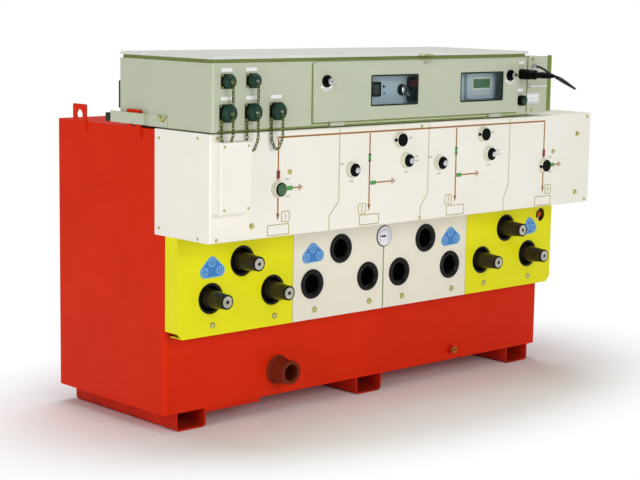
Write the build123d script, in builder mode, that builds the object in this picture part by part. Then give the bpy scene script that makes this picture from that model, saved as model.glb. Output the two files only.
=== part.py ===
import os
from math import radians, tan

from build123d import *

os.makedirs("parts", exist_ok=True)

# Frame: origin on the floor under the middle of the tank, +X to the right of someone facing the
# front, -Y out of the front, +Z up. All sizes are millimetres.

# Gas tank and its base
TANK_WIDTH = 1600
TANK_DEPTH = 522
TANK_HEIGHT = 800
TANK_CORNER = 15
SKID_WIDTH = 108
SKID_HEIGHT = 54
SKID_LENGTH = 492
SKID_INSET = 97
SKID_WALL = 5
SKID_BEND = 14
TIE_LENGTH = 200
TIE_SECTION = 12
LUG_WIDTH = 65
LUG_HEIGHT = 80
LUG_THICKNESS = 5
LUG_RISE = 49.5
LUG_HOLE_RADIUS = 16
LUG_HOLE_RISE = 18
LUG_CORNER = 4
LUG_FRONT_SETBACK = 134.5
LUG_REAR_SETBACK = 398

# Sheet metal
SHEET = 2
SHEET_BEND = 5
SHEET_FIT = 0.5

# Covers over the cable bushings
COVER_SIDE_INSET = 3
COVER_DEPTH = 55
COVER_HEIGHT = 285
COVER_DROP = 2
COVER_SEAM_SHIFT = 1
COVER_GAP = 1.5
COVER_CHAMFER = 18

# Bays and their bushings
OUTER_BAY_SHARE = 0.3525
INNER_BAY_SHARE = 0.11375
PHASE_PITCH = 114
UPPER_PHASE_RISE = 201.5
LOWER_PHASE_RISE = 106
BUSHING_BASE_RADIUS = 48
BUSHING_BASE_DEPTH = 12
BUSHING_HOLE_CLEARANCE = 0.5
COLLAR_RADIUS = 44
COLLAR_RECESS = 3
COLLAR_LIP = 38
BOWL_DEPTH = 24
BOWL_RADIUS = 33
CONE_BASE_RADIUS = 30
CONE_TIP_RADIUS = 21
CONE_REACH = 127
CONTACT_RADIUS = 16.5
CONTACT_LENGTH = 30
CONTACT_PROUD = 1.5
CONTACT_BORE_RADIUS = 5.5
CONTACT_BORE_DEPTH = 25
WELL_RADIUS = 43.5
WELL_PROUD = 5
WELL_MOUTH = 34
WELL_FLARE = 6
WELL_BORE_RADIUS = 27
WELL_FLOOR = 14

# Gas density gauge and filling valve
GAUGE_RISE = 223
GAUGE_RADIUS = 31
GAUGE_RIM = 2.5
GAUGE_RECESS = 3
GAUGE_THICKNESS = 28
GAUGE_PROUD = 3
GAUGE_STEM_RADIUS = 9
GAUGE_HOLE_RADIUS = 33.5
VALVE_INSET = 62
VALVE_RISE = 232
VALVE_HOLE_RADIUS = 22
VALVE_RADIUS = 15
VALVE_NOSE_RADIUS = 9
VALVE_REACH = 50

# Stubs low on the tank front
PIPE_X = -380
PIPE_HEIGHT = 128.5
PIPE_RADIUS = 36
PIPE_BORE_RADIUS = 25
PIPE_REACH = 62
PIPE_WELD_RADIUS = 43
DRAIN_X = 366.5
DRAIN_HEIGHT = 90
DRAIN_RADIUS = 11
DRAIN_BORE_RADIUS = 5
DRAIN_REACH = 23.5

# Operating mechanism cover and the narrow cover on its left end
MECH_DEPTH = 202
MECH_WRAP = 40
MECH_HEIGHT = 293
MECH_RISE = 3
RAISED_INSET = 10.5
RAISED_WIDTH = 108
RAISED_RISE = 81
RAISED_HEIGHT = 192
RAISED_DEPTH = 33
RAISED_EDGE = 3

# Operating shafts on the mechanism cover, offsets are from each bay's middle
COLLAR_BASE_RADIUS = 24
COLLAR_BASE_DEPTH = 3
COLLAR_OD_RADIUS = 21
COLLAR_DEPTH = 15
SHAFT_DISC_RADIUS = 19
SHAFT_DISC_DEPTH = 3.5
SHAFT_RADIUS = 7
SHAFT_REACH = 9
OUTER_SHAFT_RISE = 133
EARTH_SHAFT_OFFSET = -103
EARTH_SHAFT_RISE = 170
CHARGE_SHAFT_OFFSET = 88
CHARGE_SHAFT_RISE = 247
CLOSE_SHAFT_OFFSET = 117
CLOSE_SHAFT_RISE = 185

# Control box on top, with its lid and its front door
BOX_SIDE_INSET = 3
BOX_WIDTH = 1266
BOX_FRONT_OVERHANG = 204
BOX_DEPTH = 411
BOX_RISE = 7
BOX_HEIGHT = 183
RIM_WIDTH = 18
RIM_JOINT = 0.5
FRONT_RETURN = 8
PAD_SIZE = 60
PAD_INSET = 60
GASKET_WIDTH = 8
GASKET_INSET = 6
GASKET_JOINT = 0.5
LID_GAP = 10
LID_THICKNESS = 8.5
LID_FIT = 0.3
LID_OVERHANG = 1
DOOR_OFFSET = 356
DOOR_WIDTH = 860
DOOR_BOTTOM_GAP = 13
DOOR_HEIGHT = 168
DOOR_DEPTH = 9
DOOR_STANDOFF = 1
DOOR_CORNER = 6
DOOR_FRAME_OVERLAP = 16
WINDOW_WIDTH = 195
WINDOW_HEIGHT = 90
WINDOW_CORNER = 5
WINDOW_RISE = 38.5
LEFT_WINDOW_OFFSET = 313.5
RIGHT_WINDOW_OFFSET = 690
GLASS_THICKNESS = 3
GLASS_MARGIN = 12
LOCK_INSET = 42.5
LOCK_RISE = 115
LOCK_RADIUS = 17
LOCK_DEPTH = 7
LOCK_BARREL_RADIUS = 6.5
LOCK_BARREL_REACH = 17
HINGE_KNUCKLE_RADIUS = 5.5
HINGE_AXIS_OFFSET = 6
HINGE_AXIS_RISE = 7
HINGE_WIDTH = 52
HINGE_GAP = 0.5
LEFT_HINGE_OFFSET = 87
RIGHT_HINGE_OFFSET = 104
LID_HINGE_SPAN = 460
LID_HINGE_WIDTH = 70
LID_HINGE_RADIUS = 5
LID_HINGE_DROP = 5
LID_HINGE_LEAF = 30
LEAF_THICKNESS = 2.5
HASP_WIDTH = 50
HASP_REACH = 18
HASP_HOLE_RADIUS = 5
STAPLE_WIDTH = 26
STAPLE_RISE = 160

# Instruments on the panel behind the door
PANEL_SETBACK = 45
PANEL_INSET = 6
PANEL_DROP = 14
SELECTOR_OFFSET = 81.5
SELECTOR_DROP = 4.5
SELECTOR_RADIUS = 17
SOCKET_OFFSET = -32.5
SOCKET_SIZE = 42
SWITCH_OFFSET = 123.5
SWITCH_DROP = 3.5
SWITCH_WIDTH = 38
SWITCH_LENGTH = 70
DISPLAY_OFFSET = 44
DISPLAY_WIDTH = 130
DISPLAY_LENGTH = 78
DISPLAY_DEPTH = 12

# Capped connectors left of the door
CONNECTOR_INSET = 47
CONNECTOR_PITCH = 87.5
UPPER_CONNECTOR_RISE = 135
LOWER_CONNECTOR_RISE = 50.5
UPPER_CAP_RADIUS = 18.5
LOWER_CAP_RADIUS = 23
CONNECTOR_FLANGE = 2.5
CONNECTOR_SHELL_REACH = 6
CAP_DEPTH = 16
CAP_SKIRT = 10

# Sockets right of the door, the battery module and its lead
SOCKET_INSET = 29
PLUG_RISE = 130
SPARE_RISE = 48
PORT_FLANGE_RADIUS = 16
MODULE_WIDTH = 86
MODULE_DEPTH = 150
MODULE_RISE = 5
MODULE_HEIGHT = 179
MODULE_EAR_WIDTH = 45
MODULE_EAR_SETBACK = 10
HANDLE_OFFSET = 8
HANDLE_WIDTH = 71
HANDLE_RISE = 92
HANDLE_REACH = 16
HANDLE_RADIUS = 4
GLAND_OFFSET = 29
GLAND_RISE = 152.5
GLAND_HEX = 20
GLAND_REACH = 15
CABLE_DIAMETER = 7
PLUG_HEAD_RADIUS = 15.5
PLUG_HEAD_LENGTH = 32
PLUG_NUT_RADIUS = 14.5
PLUG_NUT_LENGTH = 20
PLUG_BODY_RADIUS = 10
PLUG_BODY_LENGTH = 50
PLUG_TAIL_RADIUS = 4.5
PLUG_LENGTH = 128

# Bracket that stands off round the front left lifting lug
BRACKET_RISE = 3
BRACKET_HEIGHT = 31
BRACKET_OFFSET = 15
BRACKET_FRONT = -11
BRACKET_BEND = 77
BRACKET_REAR = 234
BRACKET_SHEET = 3
BUFFER_LENGTH = 24

# Places that follow from the sizes above
TANK_FRONT = -TANK_DEPTH / 2
TANK_TOP = SKID_HEIGHT + TANK_HEIGHT
SKID_PITCH = TANK_WIDTH / 2 - SKID_INSET
LUG_BOTTOM = TANK_TOP + LUG_RISE - LUG_HEIGHT
LUG_HOLE_HEIGHT = TANK_TOP + LUG_HOLE_RISE
MECH_FRONT = TANK_FRONT - MECH_DEPTH
MECH_HALF_WIDTH = TANK_WIDTH / 2 + SHEET_FIT + SHEET
MECH_TOP = TANK_TOP + MECH_RISE
MECH_BOTTOM = MECH_TOP - MECH_HEIGHT
RAISED_LEFT = RAISED_INSET - MECH_HALF_WIDTH
RAISED_BOTTOM = MECH_BOTTOM + RAISED_RISE
RAISED_TOP = RAISED_BOTTOM + RAISED_HEIGHT
OUTER_SHAFT_HEIGHT = MECH_BOTTOM + OUTER_SHAFT_RISE
EARTH_SHAFT_HEIGHT = MECH_BOTTOM + EARTH_SHAFT_RISE
CHARGE_SHAFT_HEIGHT = MECH_BOTTOM + CHARGE_SHAFT_RISE
CLOSE_SHAFT_HEIGHT = MECH_BOTTOM + CLOSE_SHAFT_RISE
COVER_FRONT = TANK_FRONT - COVER_DEPTH
COVER_WIDTH = TANK_WIDTH - 2 * COVER_SIDE_INSET
COVER_TOP = MECH_BOTTOM - COVER_DROP
COVER_BOTTOM = COVER_TOP - COVER_HEIGHT
OUTER_BAY = TANK_WIDTH * OUTER_BAY_SHARE
INNER_BAY = TANK_WIDTH * INNER_BAY_SHARE
COVER_SEAM = (OUTER_BAY + INNER_BAY) / 2 - COVER_SEAM_SHIFT
UPPER_PHASE = COVER_BOTTOM + UPPER_PHASE_RISE
LOWER_PHASE = COVER_BOTTOM + LOWER_PHASE_RISE
GAUGE_HEIGHT = COVER_BOTTOM + GAUGE_RISE
VALVE_X = TANK_WIDTH / 2 - VALVE_INSET
VALVE_HEIGHT = COVER_BOTTOM + VALVE_RISE
BOX_LEFT = BOX_SIDE_INSET - TANK_WIDTH / 2
BOX_BOTTOM = TANK_TOP + BOX_RISE
BOX_FRONT = TANK_FRONT - BOX_FRONT_OVERHANG
BOX_BACK = BOX_FRONT + BOX_DEPTH
BOX_RIGHT = BOX_LEFT + BOX_WIDTH
BOX_TOP = BOX_BOTTOM + BOX_HEIGHT
LID_BOTTOM = BOX_TOP + LID_GAP
LID_TOP = LID_BOTTOM + LID_THICKNESS
LID_FRONT = BOX_FRONT - LID_OVERHANG
LID_BACK = BOX_BACK - LID_OVERHANG
DOOR_BOTTOM = BOX_BOTTOM + DOOR_BOTTOM_GAP
DOOR_TOP = DOOR_BOTTOM + DOOR_HEIGHT
DOOR_LEFT = BOX_LEFT + DOOR_OFFSET
DOOR_RIGHT = DOOR_LEFT + DOOR_WIDTH
DOOR_BACK = BOX_FRONT - DOOR_STANDOFF
DOOR_FRONT = DOOR_BACK - DOOR_DEPTH
PANEL_FRONT = BOX_FRONT + PANEL_SETBACK
HINGE_Y = BOX_FRONT - HINGE_AXIS_OFFSET
HINGE_Z = BOX_BOTTOM + HINGE_AXIS_RISE
LID_HINGE_Y = BOX_BACK + LID_HINGE_RADIUS + 1
LID_HINGE_Z = LID_BOTTOM - LID_HINGE_DROP
BAYS = (-OUTER_BAY, -INNER_BAY, INNER_BAY, OUTER_BAY)
COVER_EDGES = (-COVER_WIDTH / 2, -COVER_SEAM, 0, COVER_SEAM, COVER_WIDTH / 2)
LEFT_WINDOW = DOOR_LEFT + LEFT_WINDOW_OFFSET
RIGHT_WINDOW = DOOR_LEFT + RIGHT_WINDOW_OFFSET
WINDOW_CENTRES = (LEFT_WINDOW, RIGHT_WINDOW)
WINDOW_MIDDLE = DOOR_BOTTOM + WINDOW_RISE + WINDOW_HEIGHT / 2
LOCK_LEFT = DOOR_LEFT + LOCK_INSET
LOCK_RIGHT = DOOR_RIGHT - LOCK_INSET
LOCK_HEIGHT = DOOR_BOTTOM + LOCK_RISE
LEFT_HINGE = DOOR_LEFT + LEFT_HINGE_OFFSET
RIGHT_HINGE = DOOR_RIGHT - RIGHT_HINGE_OFFSET
PANEL_LEFT = DOOR_LEFT + PANEL_INSET
PANEL_RIGHT = DOOR_RIGHT - PANEL_INSET
PANEL_TOP = BOX_TOP - PANEL_DROP
SELECTOR_X = LEFT_WINDOW + SELECTOR_OFFSET
SELECTOR_HEIGHT = WINDOW_MIDDLE - SELECTOR_DROP
SOCKET_X = LEFT_WINDOW + SOCKET_OFFSET
SWITCH_X = LEFT_WINDOW + SWITCH_OFFSET
SWITCH_HEIGHT = WINDOW_MIDDLE - SWITCH_DROP
DISPLAY_X = RIGHT_WINDOW + DISPLAY_OFFSET
CONNECTOR_LEFT = BOX_LEFT + CONNECTOR_INSET
UPPER_CONNECTOR = BOX_BOTTOM + UPPER_CONNECTOR_RISE
LOWER_CONNECTOR = BOX_BOTTOM + LOWER_CONNECTOR_RISE
SOCKET_COLUMN = BOX_RIGHT - SOCKET_INSET
PLUG_HEIGHT = BOX_BOTTOM + PLUG_RISE
SPARE_HEIGHT = BOX_BOTTOM + SPARE_RISE
MODULE_BOTTOM = BOX_BOTTOM + MODULE_RISE
MODULE_TOP = MODULE_BOTTOM + MODULE_HEIGHT
HANDLE_LEFT = BOX_RIGHT + HANDLE_OFFSET
HANDLE_RIGHT = HANDLE_LEFT + HANDLE_WIDTH
HANDLE_HEIGHT = BOX_BOTTOM + HANDLE_RISE
GLAND_X = BOX_RIGHT + GLAND_OFFSET
GLAND_HEIGHT = BOX_BOTTOM + GLAND_RISE
BRACKET_BOTTOM = BOX_BOTTOM + BRACKET_RISE
BRACKET_TOP = BRACKET_BOTTOM + BRACKET_HEIGHT


def facing_front(y):
    """Plane across the object at y: local x is +X, local y is +Z, and it faces -Y."""
    return Plane(origin=(0, y, 0), x_dir=(1, 0, 0), z_dir=(0, -1, 0))


def facing_side(x, side):
    """Plane along one end at x: local x is side * Y, local y is +Z, and it faces side * X."""
    return Plane(origin=(x, 0, 0), x_dir=(0, side, 0), z_dir=(side, 0, 0))


def block(x0, x1, y0, y1, z0, z1, mode=Mode.ADD):
    """Rectangular block between two corners, added to or cut from the piece being built."""
    with Locations(((x0 + x1) / 2, (y0 + y1) / 2, (z0 + z1) / 2)):
        Box(x1 - x0, y1 - y0, z1 - z0, mode=mode)


def turned(x, y, z, outline, mode=Mode.ADD):
    """Turn an outline of (distance out of the front, radius) points about the line at x, z."""
    with BuildSketch(Plane(origin=(x, y, z), x_dir=(1, 0, 0), z_dir=(0, 0, 1))) as profile:
        with BuildLine():
            Polyline(*[(radius, -out) for out, radius in outline], close=True)
        make_face()
    revolve(profile.sketch, axis=Axis((x, y, z), (0, 1, 0)), mode=mode)


def phase_places(bay):
    """The three bushing places of a bay: one above, two below."""
    middle = BAYS[bay]
    return [
        (middle, UPPER_PHASE),
        (middle - PHASE_PITCH, LOWER_PHASE),
        (middle + PHASE_PITCH, LOWER_PHASE),
    ]


def shaft_places(bay):
    """The operating shafts of a bay: one in the outer bays, three in the inner ones."""
    middle = BAYS[bay]
    if bay in (0, 3):
        return [(middle, OUTER_SHAFT_HEIGHT)]
    return [
        (middle + EARTH_SHAFT_OFFSET, EARTH_SHAFT_HEIGHT),
        (middle + CLOSE_SHAFT_OFFSET, CLOSE_SHAFT_HEIGHT),
        (middle + CHARGE_SHAFT_OFFSET, CHARGE_SHAFT_HEIGHT),
    ]


def save(piece, name):
    """Label a finished piece and write it."""
    piece.part.label = name
    export_step(piece.part, f"parts/{name}.step")


# Gas tank, a welded box with bent corners
with BuildPart() as tank_body:
    with BuildSketch(Plane.XY.offset(SKID_HEIGHT)):
        RectangleRounded(TANK_WIDTH, TANK_DEPTH, TANK_CORNER)
    extrude(amount=TANK_HEIGHT)
save(tank_body, "tank_body")

# Base channels under the tank, open at the front
for name, x in (("skid_left", -SKID_PITCH), ("skid_middle", 0), ("skid_right", SKID_PITCH)):
    with BuildPart() as skid:
        with BuildSketch(facing_front(TANK_FRONT)) as section:
            with Locations((x, SKID_HEIGHT / 2)):
                Rectangle(SKID_WIDTH, SKID_HEIGHT)
            fillet(section.vertices().group_by(Axis.Y)[0], SKID_BEND)
            with Locations((x, SKID_HEIGHT / 2 + SKID_WALL)):
                Rectangle(SKID_WIDTH - 2 * SKID_WALL, SKID_HEIGHT, mode=Mode.SUBTRACT)
            floor_corners = section.vertices().filter_by(lambda v: abs(v.Y - SKID_WALL) < 0.01)
            fillet(floor_corners, SKID_BEND - SKID_WALL)
        extrude(amount=-SKID_LENGTH)
    save(skid, name)

# Flat bar that ties the left channel to the tank's front edge
with BuildPart() as front_tie:
    tie_left = -SKID_PITCH + SKID_WIDTH / 2
    block(tie_left, tie_left + TIE_LENGTH, TANK_FRONT, TANK_FRONT + TIE_SECTION,
          SKID_HEIGHT - TIE_SECTION, SKID_HEIGHT)
save(front_tie, "front_tie")

# Lifting lugs welded to both ends
for name, side in (("lugs_left", -1), ("lugs_right", 1)):
    places = [side * (TANK_FRONT + setback) for setback in (LUG_FRONT_SETBACK, LUG_REAR_SETBACK)]
    with BuildPart() as lugs:
        with BuildSketch(facing_side(side * TANK_WIDTH / 2, side)):
            with Locations(*[(place, LUG_BOTTOM + LUG_HEIGHT / 2) for place in places]):
                RectangleRounded(LUG_WIDTH, LUG_HEIGHT, LUG_CORNER)
            with Locations(*[(place, LUG_HOLE_HEIGHT) for place in places]):
                Circle(LUG_HOLE_RADIUS, mode=Mode.SUBTRACT)
        extrude(amount=LUG_THICKNESS)
    save(lugs, name)

# Pressed covers round the bushings, trays that are open towards the tank
for bay in range(4):
    left = COVER_EDGES[bay] + COVER_GAP / 2
    right = COVER_EDGES[bay + 1] - COVER_GAP / 2
    hole_radius = COLLAR_RADIUS + BUSHING_HOLE_CLEARANCE
    with BuildPart() as cover:
        with BuildSketch(facing_front(TANK_FRONT)) as outline:
            with Locations(((left + right) / 2, (COVER_BOTTOM + COVER_TOP) / 2)):
                Rectangle(right - left, COVER_TOP - COVER_BOTTOM)
            lower = outline.vertices().group_by(Axis.Y)[0].sort_by(Axis.X)
            if bay == 0:
                chamfer(lower[0], COVER_CHAMFER)
            if bay == 3:
                chamfer(lower[-1], COVER_CHAMFER)
        extrude(amount=COVER_DEPTH)
        offset(amount=-SHEET, openings=cover.faces().sort_by(Axis.Y)[-1])
        with BuildSketch(facing_front(TANK_FRONT)):
            with Locations(*phase_places(bay)):
                Circle(hole_radius)
            if bay in (1, 2):
                with Locations((0, GAUGE_HEIGHT)):
                    Circle(GAUGE_HOLE_RADIUS)
            if bay == 3:
                with Locations((VALVE_X, VALVE_HEIGHT)):
                    Circle(VALVE_HOLE_RADIUS)
        extrude(amount=COVER_DEPTH, mode=Mode.SUBTRACT)
        if bay in (0, 3):
            corner = left - 1 if bay == 0 else right - COVER_CHAMFER
            block(corner, corner + COVER_CHAMFER + 1, COVER_FRONT + SHEET, TANK_FRONT + 1,
                  COVER_BOTTOM - 1, COVER_BOTTOM + COVER_CHAMFER, mode=Mode.SUBTRACT)
    save(cover, f"bushing_cover_{bay + 1}")

# Tapered bushings of the outer bays, each in a bowl-shaped collar
collar_reach = COVER_DEPTH - COLLAR_RECESS
contact_floor = CONE_REACH + CONTACT_PROUD - CONTACT_LENGTH
for bay in (0, 3):
    with BuildPart() as bushings:
        for x, z in phase_places(bay):
            turned(x, TANK_FRONT, z, [
                (0, 0), (0, BUSHING_BASE_RADIUS), (BUSHING_BASE_DEPTH, BUSHING_BASE_RADIUS),
                (BUSHING_BASE_DEPTH, COLLAR_RADIUS), (collar_reach, COLLAR_RADIUS),
                (collar_reach, COLLAR_LIP), (BOWL_DEPTH, BOWL_RADIUS),
                (BOWL_DEPTH, CONE_BASE_RADIUS), (CONE_REACH, CONE_TIP_RADIUS),
                (CONE_REACH, CONTACT_RADIUS), (contact_floor, CONTACT_RADIUS),
                (contact_floor, 0),
            ])
    save(bushings, f"bushings_bay_{bay + 1}")
    with BuildPart() as contacts:
        for x, z in phase_places(bay):
            turned(x, TANK_FRONT - contact_floor, z, [
                (0, 0), (0, CONTACT_RADIUS), (CONTACT_LENGTH, CONTACT_RADIUS),
                (CONTACT_LENGTH, CONTACT_BORE_RADIUS),
                (CONTACT_LENGTH - CONTACT_BORE_DEPTH, CONTACT_BORE_RADIUS),
                (CONTACT_LENGTH - CONTACT_BORE_DEPTH, 0),
            ])
    save(contacts, f"contacts_bay_{bay + 1}")

# Bushing wells of the inner bays, with a rounded lip
well_reach = COVER_DEPTH + WELL_PROUD
for bay in (1, 2):
    with BuildPart() as wells:
        for x, z in phase_places(bay):
            turned(x, TANK_FRONT, z, [
                (0, 0), (0, BUSHING_BASE_RADIUS), (BUSHING_BASE_DEPTH, BUSHING_BASE_RADIUS),
                (BUSHING_BASE_DEPTH, WELL_RADIUS), (well_reach, WELL_RADIUS),
                (well_reach, WELL_MOUTH), (well_reach - WELL_FLARE, WELL_BORE_RADIUS),
                (WELL_FLOOR, WELL_BORE_RADIUS), (WELL_FLOOR, 0),
            ])
        fillet(wells.edges().group_by(Axis.Y)[0], WELL_FLARE * 0.6)
    save(wells, f"wells_bay_{bay + 1}")

# Density gauge on a stem, half in each inner cover
gauge_front = COVER_DEPTH + GAUGE_PROUD
with BuildPart() as gauge_body:
    turned(0, TANK_FRONT, GAUGE_HEIGHT, [
        (0, 0), (0, GAUGE_STEM_RADIUS), (gauge_front - GAUGE_THICKNESS, GAUGE_STEM_RADIUS),
        (gauge_front - GAUGE_THICKNESS, GAUGE_RADIUS), (gauge_front, GAUGE_RADIUS),
        (gauge_front, GAUGE_RADIUS - GAUGE_RIM),
        (gauge_front - GAUGE_RECESS, GAUGE_RADIUS - GAUGE_RIM), (gauge_front - GAUGE_RECESS, 0),
    ])
save(gauge_body, "gauge_body")
with BuildPart() as gauge_dial:
    dial_base = TANK_FRONT - gauge_front + GAUGE_RECESS
    with BuildSketch(facing_front(dial_base)):
        with Locations((0, GAUGE_HEIGHT)):
            Circle(GAUGE_RADIUS - GAUGE_RIM)
    extrude(amount=GAUGE_RECESS / 2)
save(gauge_dial, "gauge_dial")

# Filling valve behind a round hole in the right cover
with BuildPart() as filling_valve:
    nose = VALVE_REACH * 0.75
    turned(VALVE_X, TANK_FRONT, VALVE_HEIGHT, [
        (0, 0), (0, VALVE_RADIUS), (nose, VALVE_RADIUS), (nose, VALVE_NOSE_RADIUS),
        (VALVE_REACH, VALVE_NOSE_RADIUS), (VALVE_REACH, 0),
    ])
save(filling_valve, "filling_valve")

# Open pipe stub with its weld bead, and the small drain stub
with BuildPart() as pipe_stub:
    bead = PIPE_WELD_RADIUS - PIPE_RADIUS
    turned(PIPE_X, TANK_FRONT, PIPE_HEIGHT, [
        (0, PIPE_BORE_RADIUS), (0, PIPE_WELD_RADIUS), (bead, PIPE_RADIUS),
        (PIPE_REACH, PIPE_RADIUS), (PIPE_REACH, PIPE_BORE_RADIUS),
    ])
save(pipe_stub, "pipe_stub")
with BuildPart() as drain_stub:
    turned(DRAIN_X, TANK_FRONT, DRAIN_HEIGHT, [
        (0, 0), (0, DRAIN_RADIUS), (DRAIN_REACH, DRAIN_RADIUS), (DRAIN_REACH, DRAIN_BORE_RADIUS),
        (DRAIN_REACH / 2, DRAIN_BORE_RADIUS), (DRAIN_REACH / 2, 0),
    ])
save(drain_stub, "drain_stub")

# Folded cover over the operating mechanisms, open to the tank that it wraps
with BuildPart() as mechanism_cover:
    block(-MECH_HALF_WIDTH, MECH_HALF_WIDTH, MECH_FRONT, TANK_FRONT + MECH_WRAP,
          MECH_BOTTOM, MECH_TOP)
    fillet(mechanism_cover.faces().sort_by(Axis.Y)[0].edges(), SHEET_BEND)
    offset(amount=-SHEET, openings=mechanism_cover.faces().sort_by(Axis.Y)[-1])
    clear_half = MECH_HALF_WIDTH - SHEET
    block(-clear_half, clear_half, TANK_FRONT - SHEET_FIT, TANK_FRONT + MECH_WRAP + 1,
          MECH_BOTTOM - 1, MECH_TOP - SHEET, mode=Mode.SUBTRACT)
save(mechanism_cover, "mechanism_cover")

with BuildPart() as raised_cover:
    with BuildSketch(facing_front(MECH_FRONT)):
        with Locations((RAISED_LEFT + RAISED_WIDTH / 2, (RAISED_BOTTOM + RAISED_TOP) / 2)):
            Rectangle(RAISED_WIDTH, RAISED_TOP - RAISED_BOTTOM)
    extrude(amount=RAISED_DEPTH)
    fillet(raised_cover.faces().sort_by(Axis.Y)[0].edges(), RAISED_EDGE)
save(raised_cover, "raised_cover")

# Collars of the operating shafts, and the black discs and bright shafts in them
with BuildPart() as shaft_collars:
    for bay in range(4):
        for x, z in shaft_places(bay):
            turned(x, MECH_FRONT, z, [
                (0, 0), (0, COLLAR_BASE_RADIUS), (COLLAR_BASE_DEPTH, COLLAR_BASE_RADIUS),
                (COLLAR_BASE_DEPTH, COLLAR_OD_RADIUS), (COLLAR_DEPTH - 2, COLLAR_OD_RADIUS),
                (COLLAR_DEPTH, COLLAR_OD_RADIUS - 2), (COLLAR_DEPTH, 0),
            ])
save(shaft_collars, "shaft_collars")
with BuildPart() as shaft_discs:
    for bay in range(4):
        for x, z in shaft_places(bay):
            turned(x, MECH_FRONT - COLLAR_DEPTH, z, [
                (0, 0), (0, SHAFT_DISC_RADIUS), (SHAFT_DISC_DEPTH - 1, SHAFT_DISC_RADIUS),
                (SHAFT_DISC_DEPTH, SHAFT_DISC_RADIUS - 1), (SHAFT_DISC_DEPTH, 0),
            ])
save(shaft_discs, "shaft_discs")
with BuildPart() as shaft_ends:
    with BuildSketch(facing_front(MECH_FRONT - COLLAR_DEPTH - SHAFT_DISC_DEPTH)):
        for bay in (1, 2):
            with Locations(*shaft_places(bay)[:2]):
                Circle(SHAFT_RADIUS)
    extrude(amount=SHAFT_REACH)
save(shaft_ends, "shaft_ends")

# Pads between the control box and the two tops that it stands on
with BuildPart() as mounting_pads:
    pad_columns = (BOX_LEFT + PAD_INSET, BOX_RIGHT - PAD_INSET - PAD_SIZE)
    for x in pad_columns:
        block(x, x + PAD_SIZE, BOX_FRONT + PAD_INSET, BOX_FRONT + PAD_INSET + PAD_SIZE,
              MECH_TOP, BOX_BOTTOM)
        block(x, x + PAD_SIZE, BOX_BACK - PAD_INSET - PAD_SIZE, BOX_BACK - PAD_INSET,
              TANK_TOP, BOX_BOTTOM)
save(mounting_pads, "mounting_pads")

# Control box of bent sheet: floor, ends and back, then the front frame and the rim under the lid
with BuildPart() as control_box:
    block(BOX_LEFT, BOX_RIGHT, BOX_FRONT + FRONT_RETURN, BOX_BACK, BOX_BOTTOM, BOX_TOP)
    block(BOX_LEFT + SHEET, BOX_RIGHT - SHEET, BOX_FRONT, BOX_BACK - SHEET,
          BOX_BOTTOM + SHEET, BOX_TOP + 1, mode=Mode.SUBTRACT)
save(control_box, "control_box")
with BuildPart() as box_front:
    block(BOX_LEFT, BOX_RIGHT, BOX_FRONT, BOX_FRONT + FRONT_RETURN, BOX_BOTTOM, BOX_TOP)
    fillet(box_front.faces().sort_by(Axis.Y)[0].edges().filter_by(Axis.Z), SHEET_BEND)
    block(BOX_LEFT + SHEET, BOX_RIGHT - SHEET, BOX_FRONT + SHEET, BOX_FRONT + FRONT_RETURN + 1,
          BOX_BOTTOM + SHEET, BOX_TOP + 1, mode=Mode.SUBTRACT)
    block(DOOR_LEFT + DOOR_FRAME_OVERLAP, DOOR_RIGHT - DOOR_FRAME_OVERLAP,
          BOX_FRONT - SHEET, BOX_FRONT + 2 * SHEET,
          DOOR_BOTTOM + DOOR_FRAME_OVERLAP, DOOR_TOP - DOOR_FRAME_OVERLAP, mode=Mode.SUBTRACT)
save(box_front, "box_front")
with BuildPart() as box_rim:
    for y0, y1 in ((BOX_FRONT + SHEET, BOX_FRONT + RIM_WIDTH),
                   (BOX_BACK - RIM_WIDTH, BOX_BACK - SHEET)):
        block(BOX_LEFT + SHEET, BOX_RIGHT - SHEET, y0, y1, BOX_TOP - SHEET, BOX_TOP)
    for x0, x1 in ((BOX_LEFT + SHEET, BOX_LEFT + RIM_WIDTH),
                   (BOX_RIGHT - RIM_WIDTH, BOX_RIGHT - SHEET)):
        block(x0, x1, BOX_FRONT + RIM_WIDTH + RIM_JOINT, BOX_BACK - RIM_WIDTH - RIM_JOINT,
              BOX_TOP - SHEET, BOX_TOP)
save(box_rim, "box_rim")

# Gasket under the lid, laid in four strips
with BuildPart() as lid_gasket:
    gasket_top = LID_TOP - SHEET - LID_FIT
    outer = GASKET_INSET
    inner = GASKET_INSET + GASKET_WIDTH
    for y0, y1 in ((BOX_FRONT + outer, BOX_FRONT + inner), (BOX_BACK - inner, BOX_BACK - outer)):
        block(BOX_LEFT + outer, BOX_RIGHT - outer, y0, y1, BOX_TOP, gasket_top)
    for x0, x1 in ((BOX_LEFT + outer, BOX_LEFT + inner), (BOX_RIGHT - inner, BOX_RIGHT - outer)):
        block(x0, x1, BOX_FRONT + inner + GASKET_JOINT, BOX_BACK - inner - GASKET_JOINT,
              BOX_TOP, gasket_top)
save(lid_gasket, "lid_gasket")

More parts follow.
